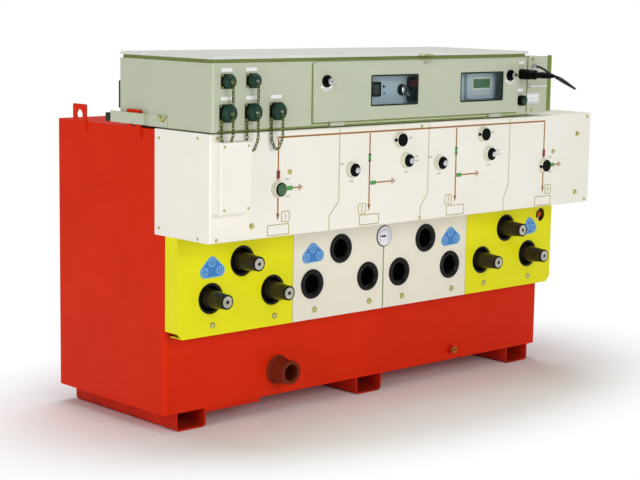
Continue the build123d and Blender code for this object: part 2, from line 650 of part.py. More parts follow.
# Panel behind the door, with the instruments that show through the windows
with BuildPart() as instrument_panel:
    block(PANEL_LEFT, PANEL_RIGHT, PANEL_FRONT, PANEL_FRONT + SHEET,
          BOX_BOTTOM + SHEET, PANEL_TOP)
save(instrument_panel, "instrument_panel")
with BuildPart() as instruments:
    with BuildSketch(facing_front(PANEL_FRONT)):
        with Locations((SOCKET_X, WINDOW_MIDDLE)):
            RectangleRounded(SOCKET_SIZE, SOCKET_SIZE, 3)
        with Locations((SWITCH_X, SWITCH_HEIGHT)):
            RectangleRounded(SWITCH_WIDTH, SWITCH_LENGTH, 3)
    extrude(amount=DISPLAY_DEPTH * 0.8)
    with BuildSketch(facing_front(PANEL_FRONT)):
        with Locations((DISPLAY_X, WINDOW_MIDDLE)):
            RectangleRounded(DISPLAY_WIDTH, DISPLAY_LENGTH, 4)
    extrude(amount=DISPLAY_DEPTH)
    turned(SELECTOR_X, PANEL_FRONT, SELECTOR_HEIGHT, [
        (0, 0), (0, SELECTOR_RADIUS), (3, SELECTOR_RADIUS), (3, SELECTOR_RADIUS * 0.75),
        (16, SELECTOR_RADIUS * 0.6), (16, 0),
    ])
save(instruments, "instruments")

# Square connector flanges with their shells, and the screwed caps
with BuildPart() as connector_flanges:
    connectors = [(CONNECTOR_LEFT + column * CONNECTOR_PITCH, UPPER_CONNECTOR, UPPER_CAP_RADIUS)
                  for column in range(2)]
    connectors += [(CONNECTOR_LEFT + column * CONNECTOR_PITCH, LOWER_CONNECTOR, LOWER_CAP_RADIUS)
                   for column in range(3)]
    for x, z, radius in connectors:
        with BuildSketch(facing_front(BOX_FRONT)):
            with Locations((x, z)):
                RectangleRounded(2 * radius + 2, 2 * radius + 2, 3)
        extrude(amount=CONNECTOR_FLANGE)
        with BuildSketch(facing_front(BOX_FRONT - CONNECTOR_FLANGE)):
            with Locations((x, z)):
                Circle(radius * 0.8)
        extrude(amount=CONNECTOR_SHELL_REACH)
save(connector_flanges, "connector_flanges")
with BuildPart() as connector_caps:
    for x, z, radius in connectors:
        turned(x, BOX_FRONT - CONNECTOR_FLANGE - CONNECTOR_SHELL_REACH, z, [
            (0, 0), (0, radius), (CAP_SKIRT, radius), (CAP_SKIRT + 2, radius * 0.9),
            (CAP_DEPTH - 2, radius * 0.86), (CAP_DEPTH, radius * 0.76), (CAP_DEPTH, 0),
        ])
save(connector_caps, "connector_caps")

# Socket for the battery lead and the capped spare socket below it
with BuildPart() as side_sockets:
    for z, reach in ((PLUG_HEIGHT, 6), (SPARE_HEIGHT, 18)):
        turned(SOCKET_COLUMN, BOX_FRONT, z, [
            (0, 0), (0, PORT_FLANGE_RADIUS), (reach - 2, PORT_FLANGE_RADIUS),
            (reach, PORT_FLANGE_RADIUS - 2), (reach, 0),
        ])
save(side_sockets, "side_sockets")

# Battery module at the right end, with an ear for its screws
module_right = BOX_RIGHT + MODULE_WIDTH
with BuildPart() as battery_module:
    block(BOX_RIGHT, module_right, BOX_FRONT, BOX_FRONT + MODULE_DEPTH, MODULE_BOTTOM, MODULE_TOP)
    fillet(battery_module.faces().sort_by(Axis.Y)[0].edges(), 2)
    block(module_right, module_right + MODULE_EAR_WIDTH, BOX_FRONT + MODULE_EAR_SETBACK,
          BOX_FRONT + MODULE_EAR_SETBACK + 3, MODULE_BOTTOM, MODULE_TOP)
save(battery_module, "battery_module")
with BuildPart() as battery_handle:
    with BuildLine() as handle_path:
        FilletPolyline(
            (HANDLE_LEFT, BOX_FRONT, HANDLE_HEIGHT),
            (HANDLE_LEFT, BOX_FRONT - HANDLE_REACH, HANDLE_HEIGHT),
            (HANDLE_RIGHT, BOX_FRONT - HANDLE_REACH, HANDLE_HEIGHT),
            (HANDLE_RIGHT, BOX_FRONT, HANDLE_HEIGHT),
            radius=HANDLE_RADIUS * 1.75,
        )
    with BuildSketch(Plane(origin=handle_path.line @ 0, z_dir=handle_path.line % 0)):
        Circle(HANDLE_RADIUS)
    sweep(path=handle_path.line)
save(battery_handle, "battery_handle")

# Cable gland on the module, and the plug in the socket
with BuildPart() as cable_gland:
    with BuildSketch(facing_front(BOX_FRONT)):
        with Locations((GLAND_X, GLAND_HEIGHT)):
            RegularPolygon(GLAND_HEX / 2, 6, major_radius=False)
    extrude(amount=GLAND_REACH / 3)
    turned(GLAND_X, BOX_FRONT - GLAND_REACH / 3, GLAND_HEIGHT, [
        (0, 0), (0, GLAND_HEX * 0.42), (GLAND_REACH / 3, GLAND_HEX * 0.42),
        (GLAND_REACH * 2 / 3, CABLE_DIAMETER / 2 + 1), (GLAND_REACH * 2 / 3, 0),
    ])
save(cable_gland, "cable_gland")

plug_back = BOX_FRONT - 6
nut_start = PLUG_HEAD_LENGTH
body_start = nut_start + PLUG_NUT_LENGTH
body_end = body_start + PLUG_BODY_LENGTH
with BuildPart() as plug:
    turned(SOCKET_COLUMN, plug_back, PLUG_HEIGHT, [
        (0, 0), (0, PLUG_HEAD_RADIUS), (nut_start, PLUG_HEAD_RADIUS),
        (nut_start, PLUG_NUT_RADIUS), (body_start, PLUG_NUT_RADIUS),
        (body_start, PLUG_BODY_RADIUS), (body_end, PLUG_BODY_RADIUS * 0.85),
        (PLUG_LENGTH, PLUG_TAIL_RADIUS), (PLUG_LENGTH, 0),
    ])
save(plug, "plug")


def lead_point(across, out, up):
    """A point of the lead, from the socket's middle on the box front."""
    return (SOCKET_COLUMN + across, BOX_FRONT - out, PLUG_HEIGHT + up)


# The lead's route from the gland, out and down, round a loop and up to the plug's strain relief
CABLE_ROUTE = [
    (GLAND_X, BOX_FRONT - GLAND_REACH - 0.2, GLAND_HEIGHT),
    (GLAND_X, BOX_FRONT - GLAND_REACH - 16, GLAND_HEIGHT),
    lead_point(58, 65, 4),
    lead_point(58, 101, -12),
    lead_point(58, 137, -26.5),
    lead_point(58, 169, -38),
    lead_point(33, 188, -37.3),
    lead_point(8, 180, -20),
    lead_point(1, 155, -4),
    lead_point(0, PLUG_LENGTH + 6 + SHEET_FIT, 0),
]


def bend_radii(route):
    """As large an arc at each inner point of a route as its two runs allow."""
    radii = []
    for before, here, after in zip(route, route[1:], route[2:]):
        run_in = Vector(*here) - Vector(*before)
        run_out = Vector(*after) - Vector(*here)
        half_turn = radians(run_in.get_angle(run_out)) / 2
        radii.append(0.45 * min(run_in.length, run_out.length) / tan(half_turn))
    return radii


cable_radii = bend_radii(CABLE_ROUTE)
with BuildPart() as cable:
    with BuildLine() as cable_path:
        FilletPolyline(*CABLE_ROUTE, radius=cable_radii)
    with BuildSketch(Plane(origin=cable_path.line @ 0, z_dir=cable_path.line % 0)):
        Circle(CABLE_DIAMETER / 2)
    sweep(path=cable_path.line)
save(cable, "cable")
cable_section = 3.14159265 * (CABLE_DIAMETER / 2) ** 2
cable_length = cable_path.wire().length
print("cable length", round(cable_length, 1))
print("cable bend radii", [round(radius, 1) for radius in cable_radii])
print("cable volume over section times length",
      round(cable.part.volume / (cable_section * cable_length), 4))

# Bracket that passes outside the front left lug, and the rubber buffer on its end
with BuildPart() as standoff_bracket:
    wall = BOX_LEFT
    far = BOX_LEFT - BRACKET_OFFSET
    t = BRACKET_SHEET
    bend = TANK_FRONT + BRACKET_BEND
    with BuildSketch(Plane.XY.offset(BRACKET_BOTTOM)):
        with BuildLine():
            Polyline(
                (wall, TANK_FRONT + BRACKET_FRONT), (wall, bend + t), (far + t, bend + t),
                (far + t, TANK_FRONT + BRACKET_REAR), (far, TANK_FRONT + BRACKET_REAR),
                (far, bend), (wall - t, bend), (wall - t, TANK_FRONT + BRACKET_FRONT), close=True,
            )
        make_face()
    extrude(amount=BRACKET_TOP - BRACKET_BOTTOM)
save(standoff_bracket, "standoff_bracket")
with BuildPart() as buffer_block:
    block(far, wall, TANK_FRONT + BRACKET_REAR, TANK_FRONT + BRACKET_REAR + BUFFER_LENGTH,
          BRACKET_BOTTOM, BRACKET_TOP - 7)
save(buffer_block, "buffer_block")

# Door: a shallow tray with two windows, open towards the box
with BuildPart() as door_panel:
    with BuildSketch(facing_front(DOOR_BACK)) as outline:
        with Locations((DOOR_LEFT + DOOR_WIDTH / 2, (DOOR_BOTTOM + DOOR_TOP) / 2)):
            RectangleRounded(DOOR_WIDTH, DOOR_HEIGHT, DOOR_CORNER)
    extrude(amount=DOOR_DEPTH)
    fillet(door_panel.faces().sort_by(Axis.Y)[0].edges(), SHEET_BEND)
    offset(amount=-SHEET, openings=door_panel.faces().sort_by(Axis.Y)[-1])
    with BuildSketch(facing_front(DOOR_BACK)):
        with Locations(*[(x, WINDOW_MIDDLE) for x in WINDOW_CENTRES]):
            RectangleRounded(WINDOW_WIDTH, WINDOW_HEIGHT, WINDOW_CORNER)
    extrude(amount=DOOR_DEPTH, mode=Mode.SUBTRACT)
save(door_panel, "door_panel")

with BuildPart() as window_glass:
    with BuildSketch(facing_front(DOOR_FRONT + SHEET + GLASS_THICKNESS)):
        with Locations(*[(x, WINDOW_MIDDLE) for x in WINDOW_CENTRES]):
            Rectangle(WINDOW_WIDTH + 2 * GLASS_MARGIN, WINDOW_HEIGHT + 2 * GLASS_MARGIN)
    extrude(amount=GLASS_THICKNESS)
save(window_glass, "window_glass")

with BuildPart() as door_locks:
    for x in (LOCK_LEFT, LOCK_RIGHT):
        turned(x, DOOR_FRONT, LOCK_HEIGHT, [
            (0, 0), (0, LOCK_RADIUS), (LOCK_DEPTH - 2, LOCK_RADIUS), (LOCK_DEPTH, LOCK_RADIUS - 2),
            (LOCK_DEPTH, LOCK_BARREL_RADIUS), (LOCK_DEPTH + LOCK_BARREL_REACH, LOCK_BARREL_RADIUS),
            (LOCK_DEPTH + LOCK_BARREL_REACH, 0),
        ])
save(door_locks, "door_locks")

with BuildPart() as door_staple:
    middle = DOOR_LEFT + DOOR_WIDTH / 2 + 14
    staple_z = DOOR_BOTTOM + STAPLE_RISE
    with BuildSketch(Plane.XY.offset(staple_z)):
        with Locations((middle, DOOR_FRONT - HASP_REACH / 2)):
            RectangleRounded(STAPLE_WIDTH, HASP_REACH, 4)
            Circle(HASP_HOLE_RADIUS, mode=Mode.SUBTRACT)
    extrude(amount=LEAF_THICKNESS)
save(door_staple, "door_staple")

# Door hinges: outer knuckles on the box, middle knuckles on the door
third = HINGE_WIDTH / 3
with BuildPart() as door_hinge_roots:
    for centre in (LEFT_HINGE, RIGHT_HINGE):
        for end in (-1, 1):
            x = centre + end * third
            half = third / 2 - HINGE_GAP / 2
            block(x - half, x + half, HINGE_Y, BOX_FRONT, BOX_BOTTOM + 1, HINGE_Z)
            with BuildSketch(facing_side(x - half, 1)):
                with Locations((HINGE_Y, HINGE_Z)):
                    Circle(HINGE_KNUCKLE_RADIUS)
            extrude(amount=2 * half)
save(door_hinge_roots, "door_hinge_roots")
with BuildPart() as door_hinge_leaves:
    for centre in (LEFT_HINGE, RIGHT_HINGE):
        half = third / 2 - HINGE_GAP / 2
        block(centre - half, centre + half, HINGE_Y - 2, HINGE_Y + 2, HINGE_Z, DOOR_BOTTOM)
        with BuildSketch(facing_side(centre - half, 1)):
            with Locations((HINGE_Y, HINGE_Z)):
                Circle(HINGE_KNUCKLE_RADIUS)
        extrude(amount=2 * half)
save(door_hinge_leaves, "door_hinge_leaves")

# Lid: a shallow pan that closes down on the gasket, with a hasp in front and hinges behind
with BuildPart() as lid_plate:
    block(BOX_LEFT - LID_OVERHANG, BOX_RIGHT + LID_OVERHANG, LID_FRONT, LID_BACK,
          LID_BOTTOM, LID_TOP)
    fillet(lid_plate.faces().sort_by(Axis.Z)[-1].edges(), SHEET)
    block(BOX_LEFT - LID_OVERHANG + SHEET, BOX_RIGHT + LID_OVERHANG - SHEET,
          LID_FRONT + SHEET, LID_BACK - SHEET, LID_BOTTOM - 1, LID_TOP - SHEET,
          mode=Mode.SUBTRACT)
save(lid_plate, "lid_plate")
with BuildPart() as lid_hasp:
    with BuildSketch(Plane.XY.offset(LID_BOTTOM + 1)):
        with Locations((middle, LID_FRONT - HASP_REACH / 2)):
            RectangleRounded(HASP_WIDTH, HASP_REACH, 4)
            Circle(HASP_HOLE_RADIUS, mode=Mode.SUBTRACT)
    extrude(amount=LEAF_THICKNESS)
save(lid_hasp, "lid_hasp")

lid_third = LID_HINGE_WIDTH / 3
lid_hinge_places = [(BOX_LEFT + BOX_RIGHT) / 2 + side * LID_HINGE_SPAN for side in (-1, 0, 1)]
with BuildPart() as lid_hinge_roots:
    for centre in lid_hinge_places:
        for end in (-1, 1):
            x = centre + end * lid_third
            half = lid_third / 2 - HINGE_GAP / 2
            block(x - half, x + half, BOX_BACK, BOX_BACK + LEAF_THICKNESS,
                  BOX_TOP - LID_HINGE_LEAF, LID_HINGE_Z)
            with BuildSketch(facing_side(x - half, 1)):
                with Locations((LID_HINGE_Y, LID_HINGE_Z)):
                    Circle(LID_HINGE_RADIUS)
            extrude(amount=2 * half)
save(lid_hinge_roots, "lid_hinge_roots")
with BuildPart() as lid_hinge_leaves:
    for centre in lid_hinge_places:
        half = lid_third / 2 - HINGE_GAP / 2
        block(centre - half, centre + half, LID_BACK, LID_BACK + LEAF_THICKNESS,
              LID_HINGE_Z, LID_TOP - SHEET)
        with BuildSketch(facing_side(centre - half, 1)):
            with Locations((LID_HINGE_Y, LID_HINGE_Z)):
                Circle(LID_HINGE_RADIUS)
        extrude(amount=2 * half)
save(lid_hinge_leaves, "lid_hinge_leaves")
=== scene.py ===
"""Gas insulated breaker: finishes, fine pieces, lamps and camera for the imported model."""

import logging
import math
from dataclasses import dataclass
from enum import Enum
from typing import Iterable, Sequence

import bmesh
import bpy
from mathutils import Matrix, Vector


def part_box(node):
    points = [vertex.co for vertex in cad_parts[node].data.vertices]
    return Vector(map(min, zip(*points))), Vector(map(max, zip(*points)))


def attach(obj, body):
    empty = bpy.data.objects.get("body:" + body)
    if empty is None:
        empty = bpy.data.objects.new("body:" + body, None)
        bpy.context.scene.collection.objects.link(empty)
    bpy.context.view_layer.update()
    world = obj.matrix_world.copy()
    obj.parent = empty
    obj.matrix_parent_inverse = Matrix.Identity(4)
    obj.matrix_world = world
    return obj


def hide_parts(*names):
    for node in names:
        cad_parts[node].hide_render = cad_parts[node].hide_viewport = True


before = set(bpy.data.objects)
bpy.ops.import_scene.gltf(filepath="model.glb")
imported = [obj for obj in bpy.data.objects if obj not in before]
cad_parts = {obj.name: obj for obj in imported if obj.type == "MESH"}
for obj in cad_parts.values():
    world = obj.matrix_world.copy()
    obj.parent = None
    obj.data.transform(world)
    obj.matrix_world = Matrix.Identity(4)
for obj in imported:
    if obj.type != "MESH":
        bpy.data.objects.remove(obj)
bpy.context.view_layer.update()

LOG = logging.getLogger("breaker")
MM = 0.001
Point = tuple[float, float]
Place = tuple[float, float, float]
Colour = tuple[float, float, float]

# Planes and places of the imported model, in millimetres
TANK_FRONT = -261.0
COVER_FRONT = -316.0
MECH_FRONT = -463.0
BOX_FRONT = -465.0
DOOR_FRONT = -475.0
PANEL_FRONT = -420.0
LID_TOP = 1062.5
BAYS = (-564.0, -182.0, 182.0, 564.0)
PHASES = ((0.0, 478.5), (-114.0, 383.0), (114.0, 383.0))
BAY_LINES = (-563.0, -213.0, 153.0, 566.0)

SMOOTH_ANGLE = 35.0
INK_RAISE = 0.12
TYPE_SHARE = 1.4


def srgb(*levels: int) -> Colour:
    """Linear colour of an 8-bit screen colour."""
    return tuple(share / 12.92 if share <= 0.04045 else ((share + 0.055) / 1.055) ** 2.4
                 for share in (level / 255 for level in levels))


class Facing(Enum):
    """Which way a flat piece or a screw looks: its plane's right, up and outward axes."""

    FRONT = ((1, 0, 0), (0, 0, 1), (0, -1, 0))
    LEFT = ((0, -1, 0), (0, 0, 1), (-1, 0, 0))
    RIGHT = ((0, 1, 0), (0, 0, 1), (1, 0, 0))
    UP = ((1, 0, 0), (0, 1, 0), (0, 0, 1))

    def placed(self, depth: float) -> Matrix:
        """Matrix from a drawing plane (x right, y up, z outwards) to the object.

        Args:
            depth: where the plane lies on the axis it looks along, in millimetres.

        Returns:
            The matrix.
        """
        outwards = Vector(self.value[2])
        sign = 1 if sum(outwards) > 0 else -1
        turn = Matrix(self.value).transposed().to_4x4()
        return Matrix.Translation(outwards * depth * sign * MM) @ turn

    @property
    def turn(self) -> Place:
        """The plane's turn as angles."""
        return tuple(self.placed(0).to_euler())


# Node trees


def feed(socket: bpy.types.NodeSocket, value: object) -> None:
    """Give a socket a value, or link it.

    Args:
        socket: the input to feed.
        value: number, colour, vector, data, output socket or Level.
    """
    if isinstance(value, Level):
        value = value.socket
    if isinstance(value, bpy.types.NodeSocket):
        socket.id_data.links.new(value, socket)
    elif socket.type == "RGBA" and len(value) == 3:
        socket.default_value = (*value, 1.0)
    else:
        socket.default_value = value


class NodeSheet:
    """A node tree and the one call that adds any node it needs."""

    def __init__(self, tree: bpy.types.NodeTree) -> None:
        """Take an empty tree."""
        self.tree = tree

    def node(self, kind: str, inputs: dict | None = None, **settings: object) -> bpy.types.Node:
        """Add a node, set it up, then feed its sockets with values or links.

        Args:
            kind: the node's type.
            inputs: socket index or name to what feeds it.
            settings: attributes that are set first.

        Returns:
            The new node.
        """
        made = self.tree.nodes.new(kind)
        for key, value in settings.items():
            setattr(made, key, value)
        for key, value in (inputs or {}).items():
            feed(made.inputs[key], value)
        return made


class Level:
    """A number socket that takes part in Python arithmetic."""

    def __init__(self, sheet: NodeSheet, socket: bpy.types.NodeSocket) -> None:
        """Wrap an output socket of a sheet."""
        self.sheet, self.socket = sheet, socket

    def _math(self, operation: str, first: object, second: object) -> "Level":
        """Add one Math node and wrap its result."""
        node = self.sheet.node("ShaderNodeMath", {0: first, 1: second}, operation=operation)
        return Level(self.sheet, node.outputs[0])

    def __add__(self, other: object) -> "Level":
        """Sum."""
        return self._math("ADD", self, other)

    def __radd__(self, other: object) -> "Level":
        """Sum with the number on the left."""
        return self._math("ADD", other, self)

    def __sub__(self, other: object) -> "Level":
        """Difference."""
        return self._math("SUBTRACT", self, other)

    def __rsub__(self, other: object) -> "Level":
        """Difference with the number on the left."""
        return self._math("SUBTRACT", other, self)

    def __mul__(self, other: object) -> "Level":
        """Product."""
        return self._math("MULTIPLY", self, other)

    def __rmul__(self, other: object) -> "Level":
        """Product with the number on the left."""
        return self._math("MULTIPLY", other, self)

    def power(self, exponent: float) -> "Level":
        """The value raised to an exponent."""
        return self._math("POWER", self, exponent)

    def between(self, low: float, high: float) -> "Level":
        """Zero at low and one at high, kept inside that range."""
        node = self.sheet.node("ShaderNodeMapRange", {0: self, 1: low, 2: high}, clamp=True,
                               interpolation_type="SMOOTHSTEP")
        return Level(self.sheet, node.outputs[0])


class ShaderSheet(NodeSheet):
    """A material's node tree with its main shader and short calls for the nodes it needs."""

    def __init__(self, name: str) -> None:
        """Start a material with one main shader.

        Args:
            name: the material's name.
        """
        self.material = bpy.data.materials.new(name)
        self.material.use_nodes = True
        super().__init__(self.material.node_tree)
        self.tree.nodes.clear()
        self.output = self.node("ShaderNodeOutputMaterial")
        self.shader = self.node("ShaderNodeBsdfPrincipled")
        feed(self.output.inputs[0], self.shader.outputs[0])
        self.place = self.node("ShaderNodeTexCoord").outputs["Object"]

    def set(self, **values: object) -> None:
        """Feed the main shader's sockets, with spaces written as underscores."""
        for key, value in values.items():
            feed(self.shader.inputs[key.replace("_", " ")], value)

    def part_of_place(self, axis: str) -> Level:
        """One coordinate of the point that is shaded, in metres."""
        return Level(self, self.node("ShaderNodeSeparateXYZ", {0: self.place}).outputs[axis])

    def stretched(self, scale: Place) -> bpy.types.NodeSocket:
        """Object coordinates with a scale of their own along each axis."""
        return self.node("ShaderNodeMapping", {"Vector": self.place, "Scale": scale}).outputs[0]

    def noise(self, scale: float, detail: float = 2.0, rough: float = 0.5,
              place: bpy.types.NodeSocket | None = None) -> Level:
        """Cloudy noise from 0 to 1, with so many clouds in a metre and octaves of detail."""
        return Level(self, self.node("ShaderNodeTexNoise", {
            "Vector": place or self.place, "Scale": scale, "Detail": detail,
            "Roughness": rough}).outputs[0])

    def cells(self, scale: float) -> Level:
        """Distance to the nearest of many scattered points."""
        node = self.node("ShaderNodeTexVoronoi", {"Vector": self.place, "Scale": scale})
        return Level(self, node.outputs["Distance"])

    def blend(self, factor: object, first: object, second: object) -> bpy.types.NodeSocket:
        """Mix two colours, from the first at 0 to the second at 1."""
        return self.node("ShaderNodeMix", {0: factor, 6: first, 7: second},
                         data_type="RGBA").outputs[2]

    def bump(self, height: Level, strength: float, distance: float) -> bpy.types.NodeSocket:
        """Surface normal from a height."""
        return self.node("ShaderNodeBump", {
            "Height": height, "Strength": strength, "Distance": distance}).outputs[0]


@dataclass(frozen=True)
class Finish:
    """What every finish has: a name and the record's material slot."""

    name: str
    slot: str

    def sheet(self) -> ShaderSheet:
        """A new sheet named for the finish."""
        return ShaderSheet(self.name)


@dataclass(frozen=True)
class SprayPaint(Finish):
    """Sprayed enamel on sheet steel: soft clouds, fine orange peel, scuffs and dust."""

    colour: Colour
    deep: Colour
    gloss: float = 0.36
    clouds: float = 0.5
    peel: float = 0.12
    scuffs: float = 0.25
    shine: float = 0.4
    dust: Colour = (0.25, 0.2, 0.15)
    dust_height: float = 0.0

    def build(self) -> bpy.types.Material:
        """Make the material.

        Returns:
            The material.
        """
        sheet = self.sheet()
        broad = sheet.noise(2.3, 3.0, 0.55)
        middle = sheet.noise(14.0, 4.0, 0.6)
        body = sheet.blend((broad * 0.65 + middle * 0.35).between(0.32, 0.72) * self.clouds,
                           self.colour, self.deep)
        fine = sheet.noise(420.0, 3.0, 0.7)
        speck = sheet.cells(160.0).between(0.09, 0.03) * middle.between(0.5, 0.66)
        worn = tuple(min(1.0, value * 1.25 + 0.02) for value in self.colour)
        body = sheet.blend(speck * self.scuffs, body, worn)
        if self.dust_height > 0:
            low = sheet.part_of_place("Z").between(self.dust_height, 0.0)
            grime = low * (middle * 0.7 + fine * 0.5).between(0.3, 0.85)
            body = sheet.blend(grime * 0.55, body, self.dust)
        sheet.set(Base_Color=body, Roughness=self.gloss + (middle - 0.5) * 0.16 + speck * 0.12,
                  Normal=sheet.bump(fine + broad * 0.4, self.peel, 0.0004))
        sheet.set(Specular_IOR_Level=self.shine)
        return sheet.material


@dataclass(frozen=True)
class MouldedResin(Finish):
    """Cast epoxy or moulded plastic: even colour, faint flow lines, a soft or glossy skin."""

    colour: Colour
    haze: Colour
    gloss: float = 0.3
    coat: float = 0.0
    shine: float = 0.3
    grain: float = 0.08

    def build(self) -> bpy.types.Material:
        """Make the material.

        Returns:
            The material.
        """
        sheet = self.sheet()
        flow = sheet.noise(38.0, 3.0, 0.6)
        fine = sheet.noise(900.0, 2.0, 0.6)
        sheet.set(Base_Color=sheet.blend(flow.between(0.4, 0.8) * 0.6, self.colour, self.haze),
                  Roughness=self.gloss + (flow - 0.5) * 0.18 + (fine - 0.5) * 0.08,
                  Normal=sheet.bump(fine, self.grain, 0.0002))
        sheet.set(Coat_Weight=self.coat, Coat_Roughness=0.12, Specular_IOR_Level=self.shine)
        return sheet.material


@dataclass(frozen=True)
class BareMetal(Finish):
    """Turned, drawn or plated metal with fine tool lines."""

    colour: Colour
    tint: Colour
    gloss: float = 0.25
    lines: tuple[float, float, float] = (60.0, 60.0, 900.0)

    def build(self) -> bpy.types.Material:
        """Make the material.

        Returns:
            The material.
        """
        sheet = self.sheet()
        drawn = sheet.noise(1.0, 3.0, 0.6, sheet.stretched(self.lines))
        stain = sheet.noise(55.0, 3.0, 0.6)
        sheet.set(Base_Color=sheet.blend(stain.between(0.45, 0.8) * 0.7, self.colour, self.tint),
                  Roughness=self.gloss + (drawn - 0.5) * 0.2 + (stain - 0.5) * 0.12,
                  Normal=sheet.bump(drawn, 0.1, 0.0002))
        sheet.set(Metallic=1.0)
        return sheet.material


@dataclass(frozen=True)
class Ink(Finish):
    """Printed or taped marking, also flat painted shade in gaps and seams: flat colour with slight
    thin spots.
    """

    colour: Colour
    thin: Colour
    gloss: float = 0.45

    def build(self) -> bpy.types.Material:
        """Make the material.

        Returns:
            The material.
        """
        sheet = self.sheet()
        spots = sheet.noise(260.0, 3.0, 0.65)
        sheet.set(Base_Color=sheet.blend(spots.between(0.5, 0.85) * 0.5, self.colour, self.thin),
                  Roughness=self.gloss + (spots - 0.5) * 0.15)
        return sheet.material


@dataclass(frozen=True)
class WindowPane(Finish):
    """Clear polycarbonate that shows what is behind it."""

    def build(self) -> bpy.types.Material:
        """Make the material.

        Returns:
            The material.
        """
        sheet = self.sheet()
        smear = sheet.noise(9.0, 3.0, 0.5)
        sheet.set(Base_Color=srgb(70, 96, 100), Roughness=0.04 + smear.between(0.5, 0.9) * 0.1)
        sheet.set(Alpha=0.05, IOR=1.45)
        return sheet.material


@dataclass(frozen=True)
class LitDisplay(Finish):
    """Backlit display of an instrument."""

    colour: Colour
    glow: float = 0.5

    def build(self) -> bpy.types.Material:
        """Make the material.

        Returns:
            The material.
        """
        sheet = self.sheet()
        rows = sheet.noise(1.0, 1.0, 0.5, sheet.stretched((300.0, 1.0, 80.0)))
        face = sheet.blend(rows.between(0.52, 0.62) * 0.7, self.colour,
                           tuple(value * 0.25 for value in self.colour))
        sheet.set(Base_Color=face, Emission_Color=face, Roughness=0.25 + rows * 0.05)
        sheet.set(Emission_Strength=self.glow)
        return sheet.material


